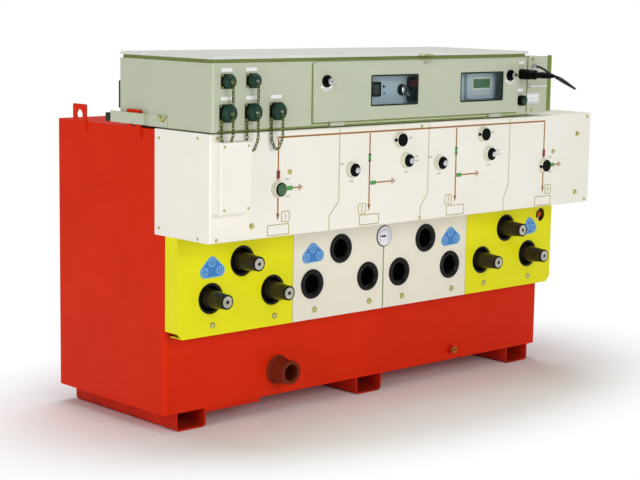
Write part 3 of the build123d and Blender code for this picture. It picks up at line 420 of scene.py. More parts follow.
class Palette:
    """All finishes of the breaker, made once each."""

    FINISHES: tuple[Finish, ...] = (
        SprayPaint("tank_red", "tank_paint", srgb(216, 42, 6), srgb(198, 32, 4), 0.44,
                   0.55, 0.14, 0.15, 0.08, srgb(96, 40, 26), 0.05),
        SprayPaint("base_red", "tank_paint", srgb(202, 38, 12), srgb(172, 27, 10), 0.48,
                   0.6, 0.2, 0.3, 0.08, srgb(90, 46, 34), 0.04),
        SprayPaint("primer_brown", "pipe_primer", srgb(122, 42, 18), srgb(74, 27, 13), 0.55,
                   0.8, 0.4, 0.5, 0.12),
        SprayPaint("mechanism_cream", "cream_paint", srgb(243, 239, 228), srgb(234, 229, 214),
                   0.36, 0.5, 0.1, 0.15),
        SprayPaint("cover_cream", "cream_paint", srgb(234, 229, 212), srgb(222, 217, 198), 0.38,
                   0.5, 0.1, 0.15),
        SprayPaint("cover_yellow", "yellow_paint", srgb(232, 228, 12), srgb(220, 216, 8), 0.4,
                   0.5, 0.1, 0.15, 0.2),
        SprayPaint("box_grey_green", "box_paint", srgb(190, 196, 172), srgb(180, 187, 162), 0.42,
                   0.5, 0.14, 0.2),
        # Lighter grey of the lid plate; also laid as painted highlight on the door's left side
        # wall and on the battery handle.
        SprayPaint("lid_grey", "box_paint", srgb(218, 221, 212), srgb(208, 212, 202), 0.42,
                   0.5, 0.12, 0.2),
        # Panel colour lightened past its own tone to stand for light falling into the box: partly
        # painted light.
        SprayPaint("panel_blue_grey", "panel_paint", srgb(188, 210, 218), srgb(172, 196, 206),
                   0.45, 0.4, 0.08, 0.1),
        MouldedResin("bushing_brown", "bushing_resin", srgb(38, 32, 25), srgb(64, 56, 43), 0.26,
                     0.4, 0.05),
        MouldedResin("well_black", "black_rubber", srgb(12, 12, 11), srgb(20, 19, 18), 0.24,
                     0.0, 0.18),
        MouldedResin("seal_black", "black_rubber", srgb(36, 40, 27), srgb(56, 60, 42), 0.7),
        MouldedResin("knob_black", "dark_plastic", srgb(5, 5, 6), srgb(11, 11, 12), 0.42,
                     0.0, 0.08),
        MouldedResin("cap_green_black", "dark_plastic", srgb(14, 52, 38), srgb(26, 70, 52), 0.36,
                     0.05, 0.3),
        MouldedResin("knob_green", "dark_plastic", srgb(58, 92, 58), srgb(112, 138, 104), 0.4),
        # Olive of the lid gasket and the mounting pads, matched to the shaded gaps under the lid
        # and the box: partly painted shade.
        MouldedResin("olive_seal_and_gap_shade", "black_rubber", srgb(120, 134, 68), srgb(136, 150, 84), 0.6),
        MouldedResin("cable_black", "black_rubber", srgb(16, 16, 17), srgb(34, 34, 36), 0.5),
        MouldedResin("collar_cream", "cream_paint", srgb(226, 224, 206), srgb(206, 204, 184),
                     0.35, 0.2),
        BareMetal("bright_aluminium", "bright_metal", srgb(214, 216, 220), srgb(180, 182, 188),
                  0.22),
        BareMetal("contact_silver", "bright_metal", srgb(192, 190, 178), srgb(132, 126, 94), 0.3),
        BareMetal("yellow_zinc", "zinc_steel", srgb(206, 204, 140), srgb(128, 130, 78), 0.3),
        BareMetal("plain_zinc", "zinc_steel", srgb(190, 192, 188), srgb(150, 152, 146), 0.3),
        BareMetal("dark_steel", "zinc_steel", srgb(78, 82, 66), srgb(50, 54, 42), 0.4),
        BareMetal("chain_olive", "zinc_steel", srgb(104, 116, 62), srgb(58, 74, 40), 0.38),
        BareMetal("turned_brass", "brass", srgb(180, 136, 66), srgb(126, 88, 44), 0.32),
        BareMetal("valve_bronze", "brass", srgb(190, 92, 34), srgb(140, 62, 24), 0.4),
        Ink("line_orange", "cream_paint", srgb(156, 102, 12), srgb(172, 124, 34)),
        Ink("arrow_orange", "cream_paint", srgb(148, 84, 6), srgb(166, 104, 22)),
        Ink("mark_green", "cream_paint", srgb(66, 160, 62), srgb(92, 180, 84), 0.35),
        Ink("mark_dark", "cream_paint", srgb(38, 60, 36), srgb(52, 78, 48)),
        Ink("mark_red", "cream_paint", srgb(130, 34, 22), srgb(150, 52, 36)),
        Ink("olive_print", "cream_paint", srgb(166, 158, 78), srgb(184, 176, 104)),
        Ink("grey_print", "cream_paint", srgb(120, 118, 110), srgb(150, 148, 140)),
        Ink("seam_shadow", "cream_paint", srgb(184, 184, 132), srgb(200, 198, 154)),
        # Flat olive used only as painted shade in gaps and along seams.
        Ink("painted_gap_shade", "box_paint", srgb(116, 132, 54), srgb(134, 150, 70), 0.6),
        Ink("label_blue", "cream_paint", srgb(44, 118, 190), srgb(60, 134, 202), 0.3),
        Ink("label_pale_blue", "cream_paint", srgb(146, 202, 236), srgb(170, 214, 240), 0.3),
        Ink("label_white", "dial_white", srgb(240, 241, 240), srgb(226, 228, 226), 0.35),
        Ink("dial_face", "dial_white", srgb(232, 230, 240), srgb(222, 220, 232), 0.2),
        Ink("dial_grey", "dial_white", srgb(150, 152, 160), srgb(170, 172, 178), 0.3),
        Ink("switch_red", "dark_plastic", srgb(170, 40, 34), srgb(190, 60, 50), 0.3),
        Ink("socket_ivory", "dial_white", srgb(226, 224, 206), srgb(212, 210, 190), 0.3),
        Ink("key_grey", "dark_plastic", srgb(26, 32, 32), srgb(38, 44, 44), 0.4),
        WindowPane("window_pane", "clear_glass"),
        LitDisplay("display_green", "dark_plastic", srgb(70, 112, 78), 0.25),
    )
    SLOTS = {finish.name: finish.slot for finish in FINISHES}
    made: dict[str, bpy.types.Material] = {}

    @classmethod
    def prepare(cls) -> None:
        """Build every material."""
        cls.made.update((finish.name, finish.build()) for finish in cls.FINISHES)

    @classmethod
    def dress(cls, **nodes: str) -> None:
        """Give CAD nodes their finishes.

        Args:
            nodes: finish name to the names of its nodes, with spaces between.
        """
        for name, node in ((name, node) for name, row in nodes.items() for node in row.split()):
            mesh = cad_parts[node].data
            mesh.materials.clear()
            mesh.materials.append(cls.made[name])


# Mesh making


def shown(name: str, data: bpy.types.ID) -> bpy.types.Object:
    """A new object in the scene.

    Args:
        name: the object's name.
        data: its mesh, curve, lamp or camera data.

    Returns:
        The object.
    """
    made = bpy.data.objects.new(name, data)
    bpy.context.scene.collection.objects.link(made)
    return made


def evaluated(held: bpy.types.Object) -> bpy.types.Mesh:
    """An object's final mesh, in place of the object.

    Args:
        held: the object, which is removed.

    Returns:
        A plain mesh.
    """
    graph = bpy.context.evaluated_depsgraph_get()
    mesh = bpy.data.meshes.new_from_object(held.evaluated_get(graph), depsgraph=graph)
    bpy.data.objects.remove(held)
    return mesh


def settle(name: str, mesh: bpy.types.Mesh, finish: str, body: str = "root") -> bpy.types.Object:
    """Give a finished mesh its object, finish and body.

    Args:
        name: the piece's name.
        mesh: its mesh, in the object's frame.
        finish: the finish it takes.
        body: the CAD body it moves with.

    Returns:
        The new object.
    """
    made = shown(name, mesh)
    mesh.materials.clear()
    mesh.materials.append(Palette.made[finish])
    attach(made, body)
    LOG.info("%s on %s, %d faces", name, body, len(mesh.polygons))
    return made


def circle(x: float, y: float, radius: float, steps: int = 32) -> list[Point]:
    """A circle's outline, counter-clockwise."""
    return [(x + radius * math.cos(math.tau * step / steps),
             y + radius * math.sin(math.tau * step / steps)) for step in range(steps)]


def arc(x: float, y: float, radius: float, degrees: Iterable[float]) -> list[Point]:
    """Points at some angles round a middle."""
    return [(x + radius * math.cos(angle), y + radius * math.sin(angle))
            for angle in map(math.radians, degrees)]


def rounded(x: float, y: float, width: float, height: float, radius: float) -> list[Point]:
    """A rectangle's outline about a middle, with rounded corners, counter-clockwise."""
    return [point for across, up, start in ((1, 1, 0), (-1, 1, 90), (-1, -1, 180), (1, -1, 270))
            for point in arc(x + across * (width / 2 - radius), y + up * (height / 2 - radius),
                             radius, [start + 90 * step / 4 for step in range(5)])]


def raised(outline: Iterable[Point], height: float) -> list[Place]:
    """An outline at a height above its plane."""
    return [(x, y, height) for x, y in outline]


def inset(outline: Sequence[Point], distance: float) -> list[Point]:
    """Move every side of a counter-clockwise outline inwards.

    Args:
        outline: the outline.
        distance: how far its sides move.

    Returns:
        The smaller outline, point for point.
    """
    moved = []
    for index, point in enumerate(outline):
        here = Vector(point)
        first = (here - Vector(outline[index - 1])).normalized()
        second = (Vector(outline[(index + 1) % len(outline)]) - here).normalized()
        middle = Vector((-first.y, first.x)) + Vector((-second.y, second.x))
        moved.append(tuple(here + middle * (2 / max(middle.length_squared, 0.4)) * distance))
    return moved


class Maker:
    """Collects closed shells in millimetres and turns them into one piece."""

    def __init__(self, depth: float | None = None) -> None:
        """Start with nothing.

        Args:
            depth: of the front plane to draw on, or None to draw in the object's own frame.
        """
        self.points: list[Vector] = []
        self.faces: list[list[int]] = []
        self.place = Matrix.Identity(4) if depth is None else Facing.FRONT.placed(depth)

    def on(self, facing: Facing, depth: float) -> "Maker":
        """Draw on a plane from now on, x right, y up and z outwards."""
        self.place = facing.placed(depth)
        return self

    def loft(self, rings: Sequence[Sequence[Place]], closed: bool = False) -> "Maker":
        """Skin rings of equal length, in order from back to front.

        Args:
            rings: each ring runs counter-clockwise as seen from outside.
            closed: joins the last ring to the first instead of closing both ends.

        Returns:
            The maker.
        """
        count, start, last = len(rings[0]), len(self.points), len(rings) - 1
        self.points += [self.place @ (Vector(point) * MM) for ring in rings for point in ring]
        for row in range(len(rings) if closed else last):
            low, high = start + row * count, start + ((row + 1) % len(rings)) * count
            for step in range(count):
                after = (step + 1) % count
                self.faces.append([low + step, low + after, high + after, high + step])
        if not closed:
            self.faces.append([start + step for step in reversed(range(count))])
            self.faces.append([start + last * count + step for step in range(count)])
        return self

    def slab(self, outline: Sequence[Point], low: float, high: float,
             edge: float = 0.0) -> "Maker":
        """A flat piece with an outline, with its front edge eased by edge."""
        top = [raised(outline, high - edge), raised(inset(outline, edge), high)]
        return self.loft([raised(outline, low)] + (top if edge > 0 else [raised(outline, high)]))

    def band(self, outline: Sequence[Point], width: float, low: float, high: float) -> "Maker":
        """A closed line of one width along an outline."""
        inner = inset(outline, width)
        return self.loft([raised(outline, low), raised(outline, high), raised(inner, high),
                          raised(inner, low)], closed=True)

    def turned(self, x: float, y: float, profile: Sequence[Point], steps: int) -> "Maker":
        """A turned piece about the outward axis; profile is (height, radius) from the back."""
        return self.loft([raised(circle(x, y, radius, steps), height)
                          for height, radius in profile])

    def stroke(self, path: Sequence[Point], width: float, low: float, high: float) -> "Maker":
        """A flat line of one width along an open path.

        Args:
            path: the points it runs through.
            width: across the line.
            low: height of its back.
            high: height of its face.

        Returns:
            The maker.
        """
        left, right = [], []
        for index, point in enumerate(path):
            here = Vector(point)
            run_in = here - Vector(path[max(index - 1, 0)])
            run_out = Vector(path[min(index + 1, len(path) - 1)]) - here
            way = (run_in.normalized() + run_out.normalized()).normalized()
            side = Vector((-way.y, way.x))
            reach = width / 2
            if run_in.length and run_out.length:
                reach /= max(0.5, side.dot(Vector((-run_in.y, run_in.x)).normalized()))
            left.append(here + side * reach)
            right.append(here - side * reach)
        return self.slab([tuple(point) for point in right + left[::-1]], low, high)

    def mesh(self, name: str, smooth: float | None = SMOOTH_ANGLE) -> bpy.types.Mesh:
        """What was collected, as a mesh with its faces turned outwards.

        Args:
            name: the mesh's name.
            smooth: angle in degrees under which edges are shaded smooth, or None for flat.

        Returns:
            The mesh.
        """
        mesh = bpy.data.meshes.new(name)
        mesh.from_pydata([tuple(point) for point in self.points], [], self.faces)
        mesh.update()
        built = bmesh.new()
        built.from_mesh(mesh)
        bmesh.ops.recalc_face_normals(built, faces=built.faces)
        built.to_mesh(mesh)
        built.free()
        if smooth is not None:
            mesh.shade_smooth()
            mesh.set_sharp_from_angle(angle=math.radians(smooth))
        return mesh

    def piece(self, name: str, finish: str, smooth: float | None = SMOOTH_ANGLE,
              body: str = "root") -> bpy.types.Object:
        """Turn what was collected into an object that rides on a body."""
        return settle(name, self.mesh(name, smooth), finish, body)


def joined(name: str, meshes: Sequence[bpy.types.Mesh]) -> bpy.types.Mesh:
    """Several meshes as one.

    Args:
        name: the new mesh's name.
        meshes: the meshes, which are removed.

    Returns:
        The mesh.
    """
    gathered = bmesh.new()
    for mesh in meshes:
        gathered.from_mesh(mesh)
        bpy.data.meshes.remove(mesh)
    result = bpy.data.meshes.new(name)
    gathered.to_mesh(result)
    gathered.free()
    return result


def lettered(words: str, size: float, x: float, y: float, depth: float) -> bpy.types.Mesh:
    """Plain raised lettering on a front plane.

    Args:
        words: what it says.
        size: letter height in millimetres.
        x: middle of the words, across.
        y: middle of the words, up.
        depth: where the plane lies.

    Returns:
        A mesh in the object's frame.
    """
    curve = bpy.data.curves.new("lettering", "FONT")
    curve.body = words
    curve.size = size * MM * TYPE_SHARE
    curve.align_x, curve.align_y = "CENTER", "CENTER"
    curve.extrude = INK_RAISE * MM
    curve.resolution_u = 3
    mesh = evaluated(shown("lettering", curve))
    bpy.data.curves.remove(curve)
    mesh.transform(Facing.FRONT.placed(depth)
                   @ Matrix.Translation(Vector((x, y, INK_RAISE)) * MM))
    return mesh


def written(name: str, finish: str, depth: float,
            words: Iterable[tuple[str, float, float, float]]) -> None:
    """One piece of words or numbers, each with its letter height and its middle."""
    settle(name, joined(name, [lettered(*word, depth) for word in words]), finish)


# Repeated pieces, made by node trees


class GeometryTree(NodeSheet):
    """A geometry tree with named inputs, run on points or a path and made a plain mesh."""

    def __init__(self, name: str, **inputs: str) -> None:
        """Start a tree with a geometry input and the named ones.

        Args:
            name: the tree's name.
            inputs: name and kind of each further input.
        """
        super().__init__(bpy.data.node_groups.new(name, "GeometryNodeTree"))
        face = self.tree.interface
        face.new_socket("Geometry", in_out="INPUT", socket_type="NodeSocketGeometry")
        self.sockets = {
            key: face.new_socket(key, in_out="INPUT", socket_type=f"NodeSocket{kind}")
            for key, kind in inputs.items()}
        face.new_socket("Geometry", in_out="OUTPUT", socket_type="NodeSocketGeometry")
        self.given = self.node("NodeGroupInput").outputs
        self.end = self.node("NodeGroupOutput")

    def copies(self, points: bpy.types.NodeSocket, rotation: bpy.types.NodeSocket,
               **more: bpy.types.NodeSocket) -> bpy.types.NodeSocket:
        """Copies of the tree's piece on points."""
        shape = self.node("GeometryNodeObjectInfo", {"Object": self.given["Piece"]})
        return self.node("GeometryNodeInstanceOnPoints", {
            "Points": points, "Instance": shape.outputs["Geometry"], "Rotation": rotation,
            **more}).outputs[0]

    def about_z(self, angle: bpy.types.NodeSocket) -> bpy.types.NodeSocket:
        """A turn about the upright axis."""
        return self.node("ShaderNodeCombineXYZ", {2: angle}).outputs[0]

    def spun(self, copies: bpy.types.NodeSocket,
             angle: bpy.types.NodeSocket) -> bpy.types.NodeSocket:
        """Copies turned about their own upright axes."""
        return self.node("GeometryNodeRotateInstances", {
            "Instances": copies, "Rotation": self.about_z(angle)}).outputs[0]

    def finish(self, copies: bpy.types.NodeSocket) -> "GeometryTree":
        """End the tree in real geometry with its material.

        Args:
            copies: the copies.

        Returns:
            The tree.
        """
        real = self.node("GeometryNodeRealizeInstances", {0: copies})
        dressed = self.node("GeometryNodeSetMaterial", {
            "Geometry": real.outputs[0], "Material": self.given["Material"]})
        feed(self.end.inputs[0], dressed.outputs[0])
        return self

    def run(self, name: str, carrier: bpy.types.ID, **values: object) -> bpy.types.Mesh:
        """Run the tree on a mesh or a curve.

        Args:
            name: what the result is called.
            carrier: mesh or curve data that holds the points or the path.
            values: input name and value.

        Returns:
            A plain mesh.
        """
        held = shown(name, carrier)
        modifier = held.modifiers.new("pattern", "NODES")
        modifier.node_group = self.tree
        for key, value in values.items():
            modifier[self.sockets[key].identifier] = value
        return evaluated(held)


def scatter_tree() -> GeometryTree:
    """Copies of one piece on points, each spun a little about its own axis.

    Returns:
        The tree.
    """
    made = GeometryTree("piece_on_points", Piece="Object", Facing="Vector", Size="Float",
                        Spin="Float", Seed="Int", Material="Material")
    angle = made.node("FunctionNodeRandomValue", {
        "Min": 0.0, "Max": made.given["Spin"], "Seed": made.given["Seed"]}, data_type="FLOAT")
    copies = made.copies(made.given[0], made.given["Facing"], Scale=made.given["Size"])
    return made.finish(made.spun(copies, angle.outputs[1]))


def chain_tree() -> GeometryTree:
    """Links along a path, each turned a quarter from the last.

    Returns:
        The tree.
    """
    made = GeometryTree("links_on_path", Piece="Object", Pitch="Float", Size="Float",
                        Material="Material")
    path = made.node("GeometryNodeResampleCurve", {
        "Curve": made.given[0], "Length": made.given["Pitch"]}, mode="LENGTH")
    points = made.node("GeometryNodeCurveToPoints", {"Curve": path.outputs[0]},
                       mode="EVALUATED").outputs
    index = made.node("GeometryNodeInputIndex")
    odd = made.node("ShaderNodeMath", {0: index.outputs[0], 1: 2.0}, operation="MODULO")
    quarter = Level(made, odd.outputs[0]) * (math.pi / 2)
    copies = made.copies(points[0], points["Rotation"], Scale=made.given["Size"])
    return made.finish(made.spun(copies, quarter))


def ring_tree() -> GeometryTree:
    """Copies of one piece round a circle, each looking outwards.

    Returns:
        The tree.
    """
    made = GeometryTree("piece_round_circle", Piece="Object", Count="Int", Radius="Float",
                        Middle="Vector", Facing="Vector", Material="Material")
    circle_points = made.node("GeometryNodeMeshCircle", {
        "Vertices": made.given["Count"], "Radius": made.given["Radius"]}).outputs[0]
    place = made.node("GeometryNodeInputPosition").outputs[0]
    parts = made.node("ShaderNodeSeparateXYZ", {0: place}).outputs
    angle = made.node("ShaderNodeMath", {0: parts[1], 1: parts[0]}, operation="ARCTAN2")
    copies = made.copies(circle_points, made.about_z(angle.outputs[0]))
    return made.finish(made.node("GeometryNodeTransform", {
        "Geometry": copies, "Translation": made.given["Middle"],
        "Rotation": made.given["Facing"]}).outputs[0])


class Pattern(Enum):
    """Which small piece is repeated."""

    PAN = "pan_screw"
    HEX = "hex_screw"
    LINK = "link"
    RIB = "rib"


class Hardware:
    """Screws, links and ribs: one pattern of each, copied by the node trees."""

    FULL_TURN = 6.28
    SEED = 7
    LINK_PITCH = 0.0092
    LINK_SIZE = 3.5

    def __init__(self) -> None:
        """Make the trees and the patterns."""
        self.scatter, self.chain, self.ring = scatter_tree(), chain_tree(), ring_tree()
        makers = (self._pan_screw(), self._hex_screw(), self._link(), self._rib())
        self.patterns = {pattern: shown(pattern.value, maker.mesh(pattern.value))
                         for pattern, maker in zip(Pattern, makers)}

    def _pan_screw(self) -> Maker:
        """A washer and a domed head with a six-sided socket, 10 mm across the washer.

        Returns:
            Its maker.
        """
        sixth, steps = math.pi / 3, 24
        maker = Maker().turned(0, 0, [(0, 5.0), (0.7, 5.0), (0.9, 4.8), (0.9, 3.0)], steps)
        rings = [raised(circle(0, 0, radius, steps), height)
                 for height, radius in ((0.7, 3.9), (1.9, 3.9), (2.7, 3.3), (3.0, 2.4))]
        flats = [math.cos(sixth / 2) / math.cos(math.tau * step / steps % sixth - sixth / 2)
                 for step in range(steps)]
        rings += [[(x * flat, y * flat, height) for (x, y), flat
                   in zip(circle(0, 0, radius, steps), flats)]
                  for height, radius in ((3.0, 1.6), (1.4, 1.5))]
        return maker.loft(rings)

    def _hex_screw(self) -> Maker:
        """A washer and a hexagon head, 16 mm across the washer."""
        maker = Maker().turned(0, 0, [(0, 8.0), (1.2, 8.0), (1.5, 7.6), (1.5, 4.0)], 28)
        return maker.slab(circle(0, 0, 6.0, 6), 1.4, 6.2, 0.7)

    def _link(self) -> Maker:
        """One oval chain link along Z, 4.4 mm long.

        Returns:
            Its maker.
        """
        wide, tall, wire, rings = 1.05, 1.75, 0.42, []
        for across, up in circle(0, 0, 1.0, 14):
            out = Vector((across / wide, 0, up / tall)).normalized()
            rings.append([tuple(Vector((wide * across, 0, tall * up)) + out * a
                                + Vector((0, b, 0))) for a, b in circle(0, 0, wire, 6)])
        return Maker().loft(rings, closed=True)

    def _rib(self) -> Maker:
        """One rounded rib along Z, 1 mm high and 10 mm long, standing out along X."""
        section = [(-0.4, -0.5), (0.5, -0.45), (0.85, 0.0), (0.5, 0.45), (-0.4, 0.5)]
        return Maker().loft([raised([(x * share, y * share) for x, y in section], height)
                             for height, share in ((0.0, 0.8), (0.6, 1), (9.4, 1), (10.0, 0.8))])

    def screws(self, name: str, points: Sequence[Place], size: float = 1.0,
               facing: Facing = Facing.FRONT, pattern: Pattern = Pattern.PAN,
               finish: str = "yellow_zinc", body: str = "root") -> None:
        """Put one screw on every point.

        Args:
            name: the piece's name.
            points: where, in millimetres.
            size: its size against the pattern.
            facing: which way it looks.
            pattern: which screw.
            finish: its finish.
            body: the CAD body it moves with.
        """
        carrier = bpy.data.meshes.new(name)
        carrier.from_pydata([tuple(v * MM for v in point) for point in points], [], [])
        mesh = self.scatter.run(
            name, carrier, Piece=self.patterns[pattern], Facing=facing.turn,
            Size=size, Spin=self.FULL_TURN, Seed=self.SEED, Material=Palette.made[finish])
        settle(name, mesh, finish, body)

    def chains(self, name: str, finish: str, paths: Sequence[Sequence[Place]]) -> None:
        """Hang chains along paths.

        Args:
            name: the piece's name.
            finish: its finish.
            paths: the points of each chain's path, in millimetres.
        """
        curve = bpy.data.curves.new(name, "CURVE")
        curve.dimensions = "3D"
        for path in paths:
            spline = curve.splines.new("POLY")
            spline.points.add(len(path) - 1)
            for point, place in zip(spline.points, path):
                point.co = (*(v * MM for v in place), 1.0)
        settle(name, self.chain.run(
            name, curve, Piece=self.patterns[Pattern.LINK], Pitch=self.LINK_PITCH,
            Size=self.LINK_SIZE, Material=Palette.made[finish]), finish)

    def ribs(self, name: str, finish: str,
             rings: Sequence[tuple[float, float, float, float, int]]) -> bpy.types.Object:
        """Ribs round turned pieces that look out of the front.

        Args:
            name: the piece's name.
            finish: its finish.
            rings: x, y of the rib's back end, z, radius and count of each ring.

        Returns:
            The new object.
        """
        meshes = [self.ring.run(
            name, bpy.data.meshes.new(name), Piece=self.patterns[Pattern.RIB], Count=count,
            Radius=radius * MM, Middle=(x * MM, y * MM, z * MM),
            Facing=Facing.FRONT.turn, Material=Palette.made[finish])
            for x, y, z, radius, count in rings]
        return settle(name, joined(name, meshes), finish)

    def clear(self) -> None:
        """Remove the patterns once every tree has run."""
        for held in self.patterns.values():
            bpy.data.objects.remove(held)


# Sub-assemblies


def middle(node: str) -> Point:
    """Middle of a CAD node as seen from the front, in millimetres."""
    low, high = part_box(node)
    return (low[0] + high[0]) / 2 / MM, (low[2] + high[2]) / 2 / MM


@dataclass
class GasTank:
    """The red welded tank with its base channels and lugs."""

    weld: float = 5.0
    ripple: float = 3.2
    ripple_share: float = 0.14
    end_share: float = 0.45
    lug_plane: float = 799.7
    lug_setbacks: tuple[float, float] = (134.5, 398.0)
    lug_half: float = 32.5
    lug_bottom: float = 823.5
    lug_weld_top: float = 853.0
    channels: tuple[float, float, float] = (-703, 0, 703)
    channel_half: float = 54.0
    channel_run: Point = (-250, 228)
    channel_top: float = 53.6
    lump_steps: int = 44

    def dress(self) -> None:
        """Finishes of the CAD nodes."""
        Palette.dress(tank_red="tank_body lugs_left lugs_right",
                      base_red="skid_left skid_middle skid_right front_tie",
                      primer_brown="pipe_stub", turned_brass="drain_stub")

    def sleeve(self) -> None:
        """Painted sleeve at the root of the drain stub."""
        profile = [(0.0, 14.5), (3.0, 14.0), (3.6, 12.2), (17.0, 12.2), (17.6, 11.2)]
        Maker(TANK_FRONT).turned(*middle("drain_stub"), profile, 32).piece(
            "drain_sleeve", "base_red")

    def welds(self) -> None:
        """Weld beads where the lugs and the channels meet the tank."""
        maker, low = Maker(), self.lug_bottom
        for x in (-self.lug_plane, self.lug_plane):
            for y in (TANK_FRONT + setback for setback in self.lug_setbacks):
                for along in (y - self.lug_half - 0.5, y + self.lug_half + 0.5):
                    self._bead(maker, (x, along, low + 1), (x, along, self.lug_weld_top))
                self._bead(maker, (x, y - self.lug_half, low), (x, y + self.lug_half, low))
        maker.piece("lug_welds", "base_red", 60)
        maker, (front, back) = Maker(), self.channel_run
        for x in self.channels:
            for across in (x - self.channel_half, x + self.channel_half):
                self._bead(maker, (across, front, self.channel_top),
                           (across, back, self.channel_top))
        maker.piece("channel_welds", "base_red", 60)

    def _bead(self, maker: Maker, start: Place, end: Place) -> None:
        """One wavy weld bead.

        Args:
            maker: takes the bead.
            start: where it begins.
            end: where it ends.
        """
        along = Vector(end) - Vector(start)
        count = max(2, int(along.length / self.ripple))
        side = along.normalized().orthogonal().normalized()
        other = along.normalized().cross(side)
        rings = []
        for step in range(count + 1):
            swell = self.weld / 2 * (1 + self.ripple_share * (math.cos(math.pi * step) - 1))
            if step in (0, count):
                swell *= self.end_share
            here = Vector(start) + along * (step / count)
            rings.append([tuple(here + side * a + other * b)
                          for a, b in circle(0, 0, swell, 8)])
        maker.loft(rings)

    def pipe(self) -> None:
        """Painted shade as a dark disc at the bottom of the pipe's bore, and rough weld lumps
        round its root.
        """
        x, z = middle("pipe_stub")
        # Painted shade: a near-black disc where the depth of the bore lies in shadow.
        Maker(TANK_FRONT).slab(circle(x, z, 24.6), 0.2, 1.2).piece(
            "pipe_bore_floor", "well_black")
        rings = [raised([circle(x, z, reach + 1.4 * math.sin(step * 2.7), self.lump_steps)[step]
                         for step in range(self.lump_steps)], height)
                 for height, reach in ((0.0, 42.0), (3.5, 43.0), (7.0, 39.5), (8.0, 35.5))]
        Maker(TANK_FRONT).loft(rings).piece("pipe_root_weld", "primer_brown", 60)

    def build(self) -> None:
        """Dress the nodes and add the fine pieces."""
        for step in (self.dress, self.sleeve, self.welds, self.pipe):
            step()


